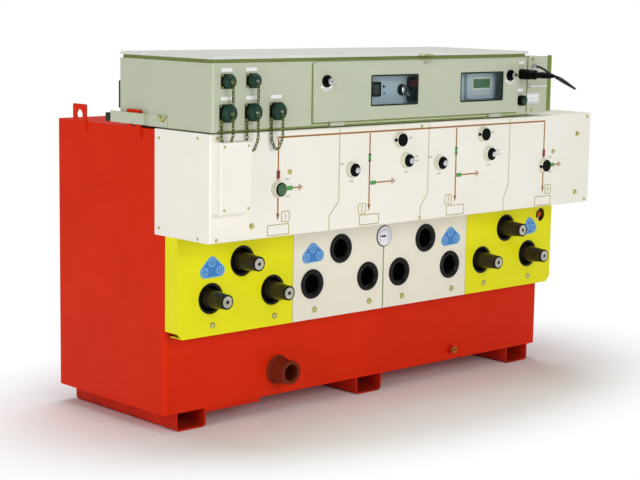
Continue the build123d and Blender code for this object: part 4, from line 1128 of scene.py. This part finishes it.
@dataclass
class CableBays:
    """Covers, bushings, wells, gauge and phase labels of the four bays."""

    hardware: Hardware
    seam: float = -2.6
    screw_height: float = 305.6
    screw_places: tuple[float, ...] = (-672, -442, -285, -60, 82, 307, 463, 682)
    label_places: tuple[tuple[Point, Point, Point], ...] = (
        ((-675, 484), (-700, 459), (-647, 460)), ((-295, 488), (-319, 464), (-268, 466)),
        ((297, 486), (273, 462), (325, 464)), ((683, 486), (669, 464), (702, 468)))
    gauge_face: float = TANK_FRONT - 56.5
    gauge_height: float = 500.0
    scale_start: float = -40.0
    scale_sweep: float = 260.0
    scale_steps: int = 11

    def dress(self) -> None:
        """Finishes of the CAD nodes."""
        Palette.dress(cover_yellow="bushing_cover_1 bushing_cover_4",
                      cover_cream="bushing_cover_2 bushing_cover_3",
                      bushing_brown="bushings_bay_1 bushings_bay_4",
                      contact_silver="contacts_bay_1 contacts_bay_4",
                      well_black="wells_bay_2 wells_bay_3", plain_zinc="gauge_body",
                      dial_face="gauge_dial", valve_bronze="filling_valve")

    def cover_seam(self) -> None:
        """Painted shade in the joint between the two cream covers."""
        foot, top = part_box("bushing_cover_2")[0][2] / MM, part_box("gauge_body")[0][2] / MM
        # Painted shade: an olive strip over the joint between the covers.
        Maker(COVER_FRONT).stroke([(self.seam, foot + 1), (self.seam, top - 1)], 2.6, 0.0,
                                  0.3).piece("cover_seam", "painted_gap_shade", None)

    def collars(self) -> None:
        """Black collars and rims of the outer bushings."""
        collar, rim = Maker(TANK_FRONT), Maker(TANK_FRONT)
        collar_profile = [(12.0, 44.1), (51.0, 44.15), (52.3, 43.4), (52.3, 39.0),
                          (51.0, 37.8), (26.0, 33.0), (24.4, 31.5)]
        rim_profile = [(124.6, 21.35), (127.2, 21.3), (128.2, 20.4), (128.2, 17.4),
                       (127.2, 16.7), (124.6, 16.7)]
        for bay in (BAYS[0], BAYS[3]):
            for across, height in PHASES:
                x = bay + across
                collar.turned(x, height, collar_profile, 56)
                rim.loft([raised(circle(x, height, radius, 48), out)
                          for out, radius in rim_profile], closed=True)
        collar.piece("bushing_collars", "well_black")
        rim.piece("bushing_rims", "well_black")

    def labels(self) -> None:
        """Rounded blue triangles with three pale circles each."""
        blue, pale, numbers = Maker(COVER_FRONT), Maker(COVER_FRONT), []
        for middles in self.label_places:
            outline = self._hull(middles, 18.0)
            blue.slab(outline, 0.0, 0.35)
            pale.band(inset(outline, 1.0), 1.6, 0.3, 0.5)
            for number, (x, z) in enumerate(middles, 1):
                pale.band(circle(x, z, 11.5), 2.0, 0.3, 0.5)
                numbers.append((str(number), 10.5, x, z))
        blue.piece("phase_labels", "label_blue", None)
        pale.piece("phase_label_lines", "label_pale_blue", None)
        written("phase_numbers", "label_pale_blue", COVER_FRONT - 0.3, numbers)

    def _hull(self, middles: Sequence[Point], radius: float) -> list[Point]:
        """The outline round three equal circles, counter-clockwise.

        Args:
            middles: of the circles.
            radius: of each.

        Returns:
            The outline.
        """
        outline, steps = [], 8
        for index, here in enumerate(map(Vector, middles)):
            go = Vector(middles[(index + 1) % 3]) - here
            come = here - Vector(middles[index - 1])
            start = math.atan2(come.y, come.x) - math.pi / 2
            sweep = (math.atan2(go.y, go.x) - math.pi / 2 - start) % math.tau
            outline += arc(*here, radius, [math.degrees(start + sweep * step / steps)
                                           for step in range(steps + 1)])
        return outline

    def gauge(self) -> None:
        """Dial marks, pointer and hub of the density gauge."""
        z = self.gauge_height
        marks = Maker(self.gauge_face).stroke(arc(0, z, 20.5, range(-40, 225, 8)), 2.2, 0.0, 0.2)
        for step in range(self.scale_steps + 1):
            angle = [self.scale_start + self.scale_sweep * step / self.scale_steps]
            marks.stroke(arc(0, z, 21.5, angle) + arc(0, z, 25.5, angle), 0.9, 0.0, 0.2)
        marks.piece("gauge_marks", "dial_grey", None)
        needle = Maker(self.gauge_face).stroke([(-12, z + 0.2), (17, z - 0.4)], 1.3, 0.3, 0.8)
        needle.piece("gauge_needle", "dial_grey", None)
        hub = Maker(self.gauge_face).stroke([(-15, z + 0.5), (-3, z)], 4.6, 0.4, 1.2)
        hub.turned(0, z, [(0.0, 3.2), (1.6, 3.2), (2.0, 2.4)], 20)
        hub.piece("gauge_hub", "knob_black")

    def build(self) -> None:
        """Dress the nodes and add the fine pieces."""
        for step in (self.dress, self.cover_seam, self.collars, self.labels, self.gauge):
            step()
        self.hardware.screws("cover_screws", [(x, COVER_FRONT, self.screw_height)
                                              for x in self.screw_places], 1.85)


@dataclass
class MechanismFront:
    """The long cream cover with its operating shafts and mimic diagram."""

    hardware: Hardware
    line: float = 4.8
    busbar: float = 839.0
    skin: float = 0.45
    earth_ends: tuple[Point, ...] = ((-482, 697), (-117, 691), (249, 691), (644, 697))
    number_places: tuple[Point, ...] = ((-535, 619), (-241, 618), (123, 619), (592, 619))
    rating_places: tuple[Point, ...] = ((-561, 584), (-211, 585), (155, 585), (568, 583))
    inner_words: tuple[tuple[str, float, float], ...] = (
        ("ON", 136, 814), ("ON", 162, 757), ("OFF", 165, 744), ("OFF", 119, 714),
        ("ON", -141, 752), ("OFF", -103, 700))
    outer_words: tuple[tuple[str, float, float], ...] = (("ON", 34, 722), ("OFF", 36, 674))
    inner_shafts: tuple[Point, ...] = ((-103, 734), (117, 749))
    eyes: tuple[Point, ...] = ((-521, 742), (612, 739))
    side_plane: float = -802.2
    side_screws: tuple[Point, ...] = ((20, 832), (-149, 843), (20, 584), (-151, 573))
    raised_face: float = -496.0

    def dress(self) -> None:
        """Finishes of the CAD nodes."""
        Palette.dress(mechanism_cream="mechanism_cover raised_cover", knob_black="shaft_discs",
                      collar_cream="shaft_collars", bright_aluminium="shaft_ends")

    def diagram(self) -> None:
        """Single-line diagram: busbar, bay lines, arrows, branches and earth marks."""
        lines, arrows, marks = (Maker(MECH_FRONT) for _ in range(3))
        lines.stroke([(BAY_LINES[0] - 4, self.busbar), (BAY_LINES[3] + 4, self.busbar)],
                     self.line, 0.0, self.skin)
        for x in BAY_LINES:
            lines.stroke([(x, self.busbar - 4), (x, 626)], self.line, 0.0, self.skin)
            arrows.slab([(x - 5.5, 629), (x, 609), (x + 5.5, 629)], 0.0, self.skin)
        for x, (end, height) in zip(BAY_LINES, self.earth_ends):
            lines.stroke([(x + 4, height), (end - 4, height)], self.line * 0.8, 0.0, self.skin)
            for across, half in ((end - 3, 10.0), (end + 2, 6.5), (end + 7, 3.0)):
                marks.stroke([(across, height - half), (across, height + half)], 2.6, 0.0,
                             self.skin)
        lines.piece("diagram_lines", "line_orange", None)
        arrows.piece("diagram_arrows", "arrow_orange", None)
        marks.piece("earth_marks", "arrow_orange", None)

    def indicators(self) -> None:
        """Small green and red position marks on the diagram."""
        green, dark, red = (Maker(MECH_FRONT) for _ in range(3))
        for x in BAY_LINES[1:3]:
            dark.slab(rounded(x, 765, 9.5, 24, 1.5), 0.2, 0.8)
            green.slab(rounded(x, 765, 8.5, 13, 1.0), 0.6, 1.1)
            dark.slab(rounded(x + 15, 691, 21, 11, 2), 0.2, 0.8)
            green.slab(rounded(x + 15, 691, 17, 10, 2), 0.6, 1.1)
        for x in (BAY_LINES[0], BAY_LINES[3]):
            red.slab(rounded(x, 737, 12, 22, 1.5), 0.2, 1.0)
            green.slab(rounded(x + 43, 697, 20, 12, 2), 0.2, 1.1)
        green.piece("green_marks", "mark_green", None)
        dark.piece("dark_marks", "mark_dark", None)
        red.piece("red_marks", "mark_red", None)

    def boxes(self) -> None:
        """Outlined number boxes, bare rating boxes and painted seam shade between the bays."""
        frames, shade = Maker(MECH_FRONT), Maker(MECH_FRONT)
        for places, width in ((self.number_places, 31), (self.rating_places, 80)):
            for x, z in places:
                frames.band(rounded(x, z, width, 31, 4), 2.3, 0.0, self.skin)
        frames.piece("diagram_boxes", "olive_print", None)
        written("bay_numbers", "olive_print", MECH_FRONT - 0.2, [
            (str(number), 17, x, z) for number, (x, z) in enumerate(self.number_places, 1)])
        # Painted seam shade: pale olive strips where the panels meet between the bays.
        for top, low in ((-333, -370), (32, 2), (398, 377)):
            shade.stroke([(top, 853), (top, 646), (low, 607), (low, 567)], 3.4, 0.0, 0.25)
        shade.piece("bay_partitions", "seam_shadow", None)

    def words(self) -> None:
        """Plain ON and OFF marks by the operating shafts."""
        written("switch_words", "grey_print", MECH_FRONT, [
            (word, 6.0, bay + across, height)
            for bays, words in ((BAYS[1:3], self.inner_words), (BAYS[::3], self.outer_words))
            for bay in bays for word, across, height in words])

    def shaft_trim(self) -> None:
        """Turned caps on the shaft ends, the green knob and the black locking pins."""
        out = MECH_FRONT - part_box("shaft_ends")[0][1] / MM
        caps = Maker(MECH_FRONT)
        for bay in BAYS[1:3]:
            for across, height in self.inner_shafts:
                caps.turned(bay + across, height, [(out - 3, 8.6), (out - 0.6, 8.6), (
                    out + 0.2, 7.8), (out + 0.2, 2.6), (out - 1.0, 2.4)], 32)
        caps.piece("shaft_caps", "bright_aluminium")
        face = MECH_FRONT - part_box("shaft_discs")[0][1] / MM
        Maker(MECH_FRONT).turned(
            BAY_LINES[0], 697, [(face - 0.5, 16.5), (face + 0.8, 16.5), (face + 1.4, 15.6),
                                (face + 1.4, 9.0), (face + 0.6, 8.2)], 40).piece(
            "green_knob", "knob_green")
        pins = Maker()
        for x, setback, height, proud in ((BAYS[1] + 70.5, 9, 811, 4.8),
                                          (BAYS[2] + 70.5, 9, 811, 4.8),
                                          (BAY_LINES[3] - 18.5, 10, 695, 5.4)):
            pins.on(Facing.LEFT, x).turned(setback - MECH_FRONT, height, [
                (0, 5.4), (proud - 0.8, 5.4), (proud, 4.6)], 20)
        pins.piece("locking_pins", "knob_black")

    def fasteners(self) -> None:
        """Screws of the cover, its plates and the raised cover."""
        screws, face, proud = self.hardware.screws, MECH_FRONT, self.raised_face
        screws("padlock_eyes", [(x, face, z) for x, z in self.eyes], 1.5)
        screws("cover_edge_screws", [(x, face, z) for x in (-780, 0, 780)
                                     for z in (846, 573)])
        left = [(self.side_plane, TANK_FRONT + y, z) for y, z in self.side_screws]
        screws("cover_side_screws", left, 0.9, Facing.LEFT)
        screws("cover_right_screws", [(-x, y, z) for x, y, z in left], 0.9, Facing.RIGHT)
        screws("plate_screws", [(-657, face, 602), (731, face, 791), (731, face, 600)], 1.05,
               pattern=Pattern.HEX)
        screws("raised_cover_screws", [(-780, proud, 825), (-780, proud, 657),
                                       (-697, proud, 657), (-697, proud, 825)], 0.75)

    def build(self) -> None:
        """Dress the nodes and add the fine pieces."""
        for step in (self.dress, self.diagram, self.indicators, self.boxes, self.words,
                     self.shaft_trim, self.fasteners):
            step()


@dataclass
class ControlBox:
    """The grey-green box with its lid, door and instruments."""

    hardware: Hardware
    locks: Point = (-398.5, 376.5)
    lock_height: float = 989.0
    windows: Point = (-127.5, 249.0)
    window_height: float = 957.5
    display: Point = (293, 964)
    nut: Point = (254.0, 882.5)
    screw_sink: float = 2.7

    def dress(self) -> None:
        """Finishes of the CAD nodes."""
        Palette.dress(
            box_grey_green="control_box box_front box_rim door_panel door_hinge_roots "
                           "door_hinge_leaves lid_hinge_roots lid_hinge_leaves "
                           "standoff_bracket",
            lid_grey="lid_plate", seal_black="buffer_block",
            # The gasket and the mounting pads take the olive of the shaded gaps: partly painted
            # shade.
            olive_seal_and_gap_shade="mounting_pads lid_gasket", panel_blue_grey="instrument_panel",
            knob_black="instruments door_locks", window_pane="window_glass",
            plain_zinc="door_staple", yellow_zinc="lid_hasp")

    def lock_trim(self) -> None:
        """Bright lock barrels and the white arcs under them."""
        barrel, plate, mark = (Maker(DOOR_FRONT) for _ in range(3))
        sweep, z = range(215, 326, 10), self.lock_height
        for x in self.locks:
            barrel.turned(x, z, [(17.0, 7.0), (17.5, 9.0), (23.4, 9.0), (24.3, 8.0),
                                 (24.3, 2.4), (22.8, 2.3)], 32)
            plate.slab(arc(x, z, 27, sweep) + arc(x, z, 19.5, sweep)[::-1], 0.0, 0.4)
            mark.stroke(arc(x, z, 23, sweep[2:-2]), 1.4, 0.3, 0.55)
        barrel.piece("lock_barrels", "bright_aluminium", body="door")
        plate.piece("lock_arcs", "label_white", None, "door")
        mark.piece("lock_arc_marks", "grey_print", None, "door")

    def window_seals(self) -> None:
        """Dark rubber strips round the two windows."""
        maker = Maker(DOOR_FRONT + 2.6)
        for x in self.windows:
            maker.band(rounded(x, self.window_height, 195.5, 90.5, 5), 5.0, 0.0, 2.4)
        maker.piece("window_seals", "seal_black", body="door")

    def instruments(self) -> None:
        """Faces of the instruments behind the windows."""
        ivory, red, silver, key, lit, dot, plate = (Maker(PANEL_FRONT) for _ in range(7))
        key.slab(rounded(-160, 957, 26, 30, 3), 9.6, 10.6, 0.4)
        silver.turned(-46, 953, [(15.0, 13.0), (16.4, 13.0), (17.0, 12.0)], 36)
        silver.stroke([(-50, 958), (-30, 938)], 9.0, 16.8, 24.0)
        red.slab(rounded(-4, 972, 26, 20, 2), 9.6, 12.5, 0.8)
        key.slab(rounded(-4, 938, 26, 26, 2), 9.6, 12.0, 0.8)
        key.slab([(-124, 970), (-124, 958), (-111, 964)], 0.0, 0.4)
        dot.slab(circle(-117, 944, 4.0), 0.0, 0.6)
        x, z = self.display
        plate.slab(rounded(x, z - 7, 132, 80, 5), 0.0, 12.6)
        ivory.band(rounded(x, z, 88, 38, 2), 5.0, 12.4, 13.6)
        lit.slab(rounded(x, z, 80, 30, 1), 12.4, 12.9)
        for step in range(-2, 3):
            ivory.slab(rounded(x + step * 16, z - 32, 9, 6, 2), 12.4, 13.4, 0.5)
        for maker, name, finish in (
                (dot, "panel_dot", "label_blue"), (plate, "display_plate", "panel_blue_grey"),
                (ivory, "socket_face", "socket_ivory"), (red, "switch_face", "switch_red"),
                (silver, "selector_handle", "bright_aluminium"),
                (key, "instrument_keys", "key_grey")):
            maker.piece(name, finish)
        lit.piece("display_face", "display_green", None)

    def hinge_plates(self) -> None:
        """Flat leaves of the door hinges on the box, under the door."""
        maker = Maker(BOX_FRONT)
        for x in (-354, 315):
            maker.slab(rounded(x, 866, 56, 6, 1.5), 0.0, 0.9, 0.3)
        maker.piece("hinge_plates", "dark_steel")

    def door_shadow(self) -> None:
        """Painted shade in the gap round the door and at the box's foot, and a painted highlight
        on the door's left side wall.
        """
        low, high = ([v / MM for v in corner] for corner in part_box("door_panel"))
        left, right, bottom, top = low[0] - 2, high[0] + 1, low[2] - 2, high[2] - 3
        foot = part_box("control_box")[0][2] / MM + 2.4
        # Painted shade: olive strips in the gap round the door and along the box's foot.
        gap = Maker(BOX_FRONT)
        gap.stroke([(left, top), (left, bottom), (right, bottom), (right, top)], 5.5, 0.0, 0.3)
        gap.stroke([(-780, foot), (467, foot)], 4.4, 0.0, 0.3)
        gap.piece("door_gap", "painted_gap_shade", None)
        # Painted highlight: a thin strip of lighter grey on the door's left side wall.
        front, back = -low[1] - 1, -BOX_FRONT + 1
        Maker().on(Facing.LEFT, low[0]).slab(
            [(back, bottom + 4), (front, bottom + 4), (front, top - 2), (back, top - 2)],
            0.0, 0.4).piece("door_edge", "lid_grey", None, "door")

    def fasteners(self) -> None:
        """Lid screws, the wing nut of the bracket and the strip on the rear left edge."""
        top = LID_TOP - self.screw_sink
        self.hardware.screws("lid_screws", [
            (-681, TANK_FRONT + 186, top), (-401, TANK_FRONT - 100, top),
            (225, TANK_FRONT - 90, top)], 0.9, Facing.UP, finish="plain_zinc", body="lid")
        along, up = self.nut
        nut = Maker().on(Facing.LEFT, -800.0)
        nut.turned(along, up, [(0, 8.0), (1.2, 8.0), (1.2, 6.0), (7.5, 5.2), (9.0, 4.0)], 28)
        for side in (-1, 1):
            wing = [(along + side * out, up + rise) for out, rise in
                    ((3, -4), (16, 6), (17, 12), (11, 12), (2, 4))]
            nut.slab(wing[::side], 2.5, 6.0, 0.8)
        nut.piece("wing_nut", "yellow_zinc")
        strip = Maker().on(Facing.LEFT, -792.0)
        strip.slab(rounded(49.6, 941.5, 8.8, 77, 1.2), 0.0, 4.8, 0.6)
        strip.piece("edge_strip", "seal_black")

    def build(self) -> None:
        """Dress the nodes and add the fine pieces."""
        for step in (self.dress, self.lock_trim, self.window_seals, self.instruments,
                     self.hinge_plates, self.door_shadow, self.fasteners):
            step()


@dataclass
class ConnectorGroup:
    """Five capped connectors with their chains and white labels."""

    hardware: Hardware
    places: tuple[Place, ...] = (
        (-750, 996, 18.5), (-662.5, 996, 18.5), (-750, 911.5, 23), (-662.5, 911.5, 23),
        (-575, 911.5, 23))
    drops: tuple[float, ...] = (6, 6, 78, 92, 92)
    upper_row: float = 950.0
    cap_back: float = BOX_FRONT - 8.5
    chain_steps: int = 24
    label_places: tuple[Point, ...] = (
        (-749, 1026), (-664, 1026), (-750, 950.5), (-664, 950.5), (-575, 950.5), (438, 941),
        (440, 1027))

    def fasteners(self) -> None:
        """Knurls of the caps, screws of the flanges and the rivets of the chains."""
        self.hardware.ribs("cap_knurls", "cap_green_black",
                           [(x, self.cap_back - 1, z, r, int(r * 2.0)) for x, z, r in self.places])
        self.hardware.screws("flange_screws", [
            (x + a * (r - 3), BOX_FRONT - 2.5, z + b * (r - 3))
            for x, z, r in self.places for a in (-1, 1) for b in (-1, 1)], 0.7)
        self.hardware.screws("cap_rivets", [(x, self.cap_back - 16, z)
                                            for x, z, _ in self.places], finish="plain_zinc")

    def _hang(self, start: Vector, end: Vector, drop: float) -> list[Place]:
        """The path of one hanging chain, which keeps to its ends' planes near its ends.

        Args:
            start: its upper end.
            end: its lower end.
            drop: how far its middle hangs down.

        Returns:
            The points.
        """
        path = []
        for share in (step / self.chain_steps for step in range(self.chain_steps + 1)):
            here = start.lerp(end, min(1.0, max(0.0, (share - 0.25) * 2)))
            here.z = start.lerp(end, share).z - drop * (1 - abs(2 * share - 1) ** 1.7)
            path.append(tuple(here))
        return path

    def chains(self) -> None:
        """Chains from the caps to their flanges, or to the box under the upper row."""
        paths = []
        for (x, z, r), drop in zip(self.places, self.drops):
            end = Vector((x - r + 3, BOX_FRONT - 6, z - r + 3))
            if z > self.upper_row:
                end = Vector((x + 12, BOX_FRONT - 14, 937))
            paths.append(self._hang(Vector((x, self.cap_back - 20, z - 1)), end, drop))
        self.hardware.chains("cap_chains", "chain_olive", paths)

    def labels(self) -> None:
        """White labels over the connectors and sockets, and the cap of the spare socket."""
        labels = Maker(BOX_FRONT)
        for x, z in self.label_places:
            labels.slab(rounded(x, z, 37 if x < 0 else 26, 10, 1), 0.0, 0.5)
        labels.piece("connector_labels", "label_white", None)
        Maker(BOX_FRONT).turned(440, 909, [(18.0, 12.5), (19.5, 12.3), (20.2, 11.0),
                                           (20.2, 0.5)], 36).piece(
            "spare_socket_cap", "cap_green_black")

    def build(self) -> None:
        """Dress the nodes and add the fine pieces."""
        Palette.dress(dark_steel="connector_flanges", cap_green_black="connector_caps",
                      knob_black="side_sockets")
        for step in (self.fasteners, self.chains, self.labels):
            step()


@dataclass
class BatteryEnd:
    """Battery module, its handle and gland, and the lead with its plug."""

    hardware: Hardware
    lead: float = 7.0
    lead_length: float = 0.274
    plug: Point = (440, 991)
    plate: Point = (501, 914)
    seam_run: Point = (872, 1048)

    def route(self) -> list[Place]:
        """The lead's route from the gland to the plug, in millimetres."""
        return [
            (498, -480.2, 1013.5), (498, -496, 1013.5), (498, -530, 995), (498, -566, 979),
            (498, -602, 964.5), (498, -634, 953), (473, -653, 953.7), (448, -645, 971),
            (441, -620, 987), (440, -599.5, 991),
        ]

    def cable(self) -> None:
        """The lead as one smooth curve, with the rings of its plug."""
        curve = bpy.data.curves.new("battery_lead", "CURVE")
        curve.dimensions = "3D"
        curve.bevel_depth = self.lead / 2 * MM
        curve.bevel_resolution = 4
        curve.resolution_u = 12
        curve.use_fill_caps = True
        route = self.route()
        spline = curve.splines.new("NURBS")
        spline.points.add(len(route) - 1)
        for point, place in zip(spline.points, route):
            point.co = (*(v * MM for v in place), 1.0)
        spline.order_u = 3
        spline.use_endpoint_u = True
        curve.materials.append(Palette.made["cable_black"])
        lead = shown("battery_lead", curve)
        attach(lead, "root")
        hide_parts("cable")
        x, z = self.plug
        knurl = self.hardware.ribs("plug_knurl", "knob_black",
                                   [(x, y, z, 15.2, 34) for y in (-473, -487)])
        relief = Maker(BOX_FRONT - 6)
        for out in (76 + step * 6.8 for step in range(7)):
            radius = 10 - 0.03 * (out - 52) - 0.12 * max(0.0, out - 102)
            relief.turned(x, z, [(out, radius), (out + 0.8, radius + 0.9),
                                 (out + 3.0, radius + 0.8), (out + 3.8, radius - 0.2)], 24)
        rings = relief.piece("relief_rings", "knob_black")

    def trim(self) -> None:
        """Painted shade along the module's left seam and its right edge, and its white plate with
        printed lines.
        """
        (low, high), (x, z) = self.seam_run, self.plate
        # Painted shade: a thin olive line at the module's left seam and a wide one at its right
        # edge.
        seams = Maker(BOX_FRONT).stroke([(471.5, low), (471.5, high)], 4.0, 0.0, 0.3)
        seams.on(Facing.FRONT, BOX_FRONT + 10)
        seams.stroke([(588.5, low), (588.5, high)], 19.0, 0.0, 0.3)
        seams.piece("battery_seams", "painted_gap_shade", None)
        Maker(BOX_FRONT).slab(rounded(x, z, 61, 31, 2), 0.0, 0.6).piece(
            "battery_plate", "label_white", None)
        lines = Maker(BOX_FRONT).band(rounded(x, z, 57, 27, 1.5), 0.9, 0.5, 0.75)
        for height in (z - 9, z):
            lines.stroke([(x - 27, height), (x + 27, height)], 0.8, 0.5, 0.75)
        lines.piece("battery_plate_lines", "grey_print", None)

    def build(self) -> None:
        """Dress the nodes and add the lead and the fine pieces."""
        # The battery handle takes the lighter lid grey as a painted highlight on the box paint.
        Palette.dress(box_grey_green="battery_module", lid_grey="battery_handle",
                      bright_aluminium="cable_gland", knob_black="plug")
        self.cable()
        self.hardware.screws("thumb_screws", [(494, BOX_FRONT, 1036), (495, BOX_FRONT, 875)],
                             0.75, pattern=Pattern.HEX)
        self.trim()


@dataclass
class Studio:
    """Floor, lamps, sky and the camera."""

    camera_place: Place = (-3.5206, -3.8345, 1.2243)
    azimuth: float = -42.759
    dip: float = 8.46
    roll: float = -0.016
    lens: float = 92.475
    floor_half: float = 30.0
    fade_stretch: Point = (1.05, 1.7)
    fade_shift: float = 0.1
    fade_reach: Point = (0.95, 1.6)
    sky_light: float = 0.3
    lamps: tuple[tuple[str, Place, Place, float, float], ...] = (
        ("key", (-0.6, -5.5, 2.1), (0, -0.2, 0.55), 2.6, 127),
        ("side", (-5.3, -1.0, 1.6), (0, 0, 0.5), 2.4, 94),
        ("top", (0.3, 0.7, 4.5), (0, 0, 0.5), 3.0, 108))

    def camera(self) -> None:
        """Put the camera where the photograph was taken from."""
        a, e = math.radians(self.azimuth), math.radians(self.dip)
        ahead = Vector((-math.sin(a) * math.cos(e), math.cos(a) * math.cos(e), -math.sin(e)))
        right = ahead.cross(Vector((0, 0, 1))).normalized()
        down = ahead.cross(right)
        turn_c, turn_s = math.cos(self.roll), math.sin(self.roll)
        right, down = right * turn_c + down * turn_s, down * turn_c - right * turn_s
        data = bpy.data.cameras.new("camera")
        data.lens = self.lens
        data.sensor_width = 36
        data.sensor_fit = "HORIZONTAL"
        data.clip_end = 100
        held = shown("camera", data)
        turn = Matrix((right, -down, -ahead)).transposed().to_4x4()
        held.matrix_world = Matrix.Translation(self.camera_place) @ turn
        bpy.context.scene.camera = held

    def floor(self) -> None:
        """A pale floor that keeps the shadow near the object and turns white far from it."""
        mesh, size = bpy.data.meshes.new("floor"), self.floor_half
        mesh.from_pydata([(-size, -size, 0), (size, -size, 0), (size, size, 0),
                          (-size, size, 0)], [], [[0, 1, 2, 3]])
        held = shown("floor", mesh)
        sheet = ShaderSheet("floor_white")
        sheet.set(Base_Color=srgb(246, 246, 246), Roughness=0.85)
        glow = sheet.node("ShaderNodeEmission", {"Color": (1, 1, 1), "Strength": 1.0})
        wide = sheet.part_of_place("X") * self.fade_stretch[0]
        deep = (sheet.part_of_place("Y") + self.fade_shift) * self.fade_stretch[1]
        far = (wide * wide + deep * deep).power(0.5).between(*self.fade_reach)
        path = sheet.node("ShaderNodeLightPath").outputs
        seen = (Level(sheet, path["Is Camera Ray"]) + Level(sheet, path["Is Glossy Ray"])
                + Level(sheet, path["Is Transmission Ray"]))
        mixed = sheet.node("ShaderNodeMixShader", {
            0: far * seen, 1: sheet.shader.outputs[0], 2: glow.outputs[0]})
        feed(sheet.output.inputs[0], mixed.outputs[0])
        mesh.materials.append(sheet.material)

    def sky(self) -> None:
        """White to the camera and through glass, softer as light."""
        world = bpy.data.worlds.new("studio")
        bpy.context.scene.world = world
        world.use_nodes = True
        sheet = NodeSheet(world.node_tree)
        sheet.tree.nodes.clear()
        soft = sheet.node("ShaderNodeBackground", {0: (0.96, 0.98, 1.0), 1: self.sky_light})
        white = sheet.node("ShaderNodeBackground", {0: (1, 1, 1), 1: 1.0})
        path = sheet.node("ShaderNodeLightPath").outputs
        either = sheet.node("ShaderNodeMath", {
            0: path["Is Camera Ray"], 1: path["Is Transmission Ray"]}, operation="MAXIMUM")
        mix = sheet.node("ShaderNodeMixShader", {
            0: either.outputs[0], 1: soft.outputs[0], 2: white.outputs[0]})
        sheet.node("ShaderNodeOutputWorld", {0: mix.outputs[0]})

    def lamp(self, name: str, place: Place, aim: Place, size: float, power: float) -> None:
        """One soft square lamp.

        Args:
            name: the lamp's name.
            place: where it stands, in metres.
            aim: the point it looks at.
            size: its side, in metres.
            power: in watts.
        """
        data = bpy.data.lights.new(name, "AREA")
        data.size, data.energy = size, power
        held = shown(name, data)
        ahead = (Vector(aim) - Vector(place)).normalized()
        held.rotation_euler = ahead.to_track_quat("-Z", "Y").to_euler()
        held.location = place

    def build(self) -> None:
        """Set everything up."""
        for step in (self.camera, self.floor, self.sky):
            step()
        for lamp in self.lamps:
            self.lamp(*lamp)
        bpy.context.scene.view_settings.view_transform = "Standard"


def main() -> None:
    """Build every sub-assembly in order and report each piece."""
    logging.basicConfig(level=logging.INFO, format="%(name)s: %(message)s")
    Palette.prepare()
    hardware = Hardware()
    for assembly in (Studio(), BatteryEnd(hardware), GasTank(), CableBays(hardware),
                     MechanismFront(hardware), ControlBox(hardware), ConnectorGroup(hardware)):
        assembly.build()
    hardware.clear()


if __name__ == "__main__":
    main()
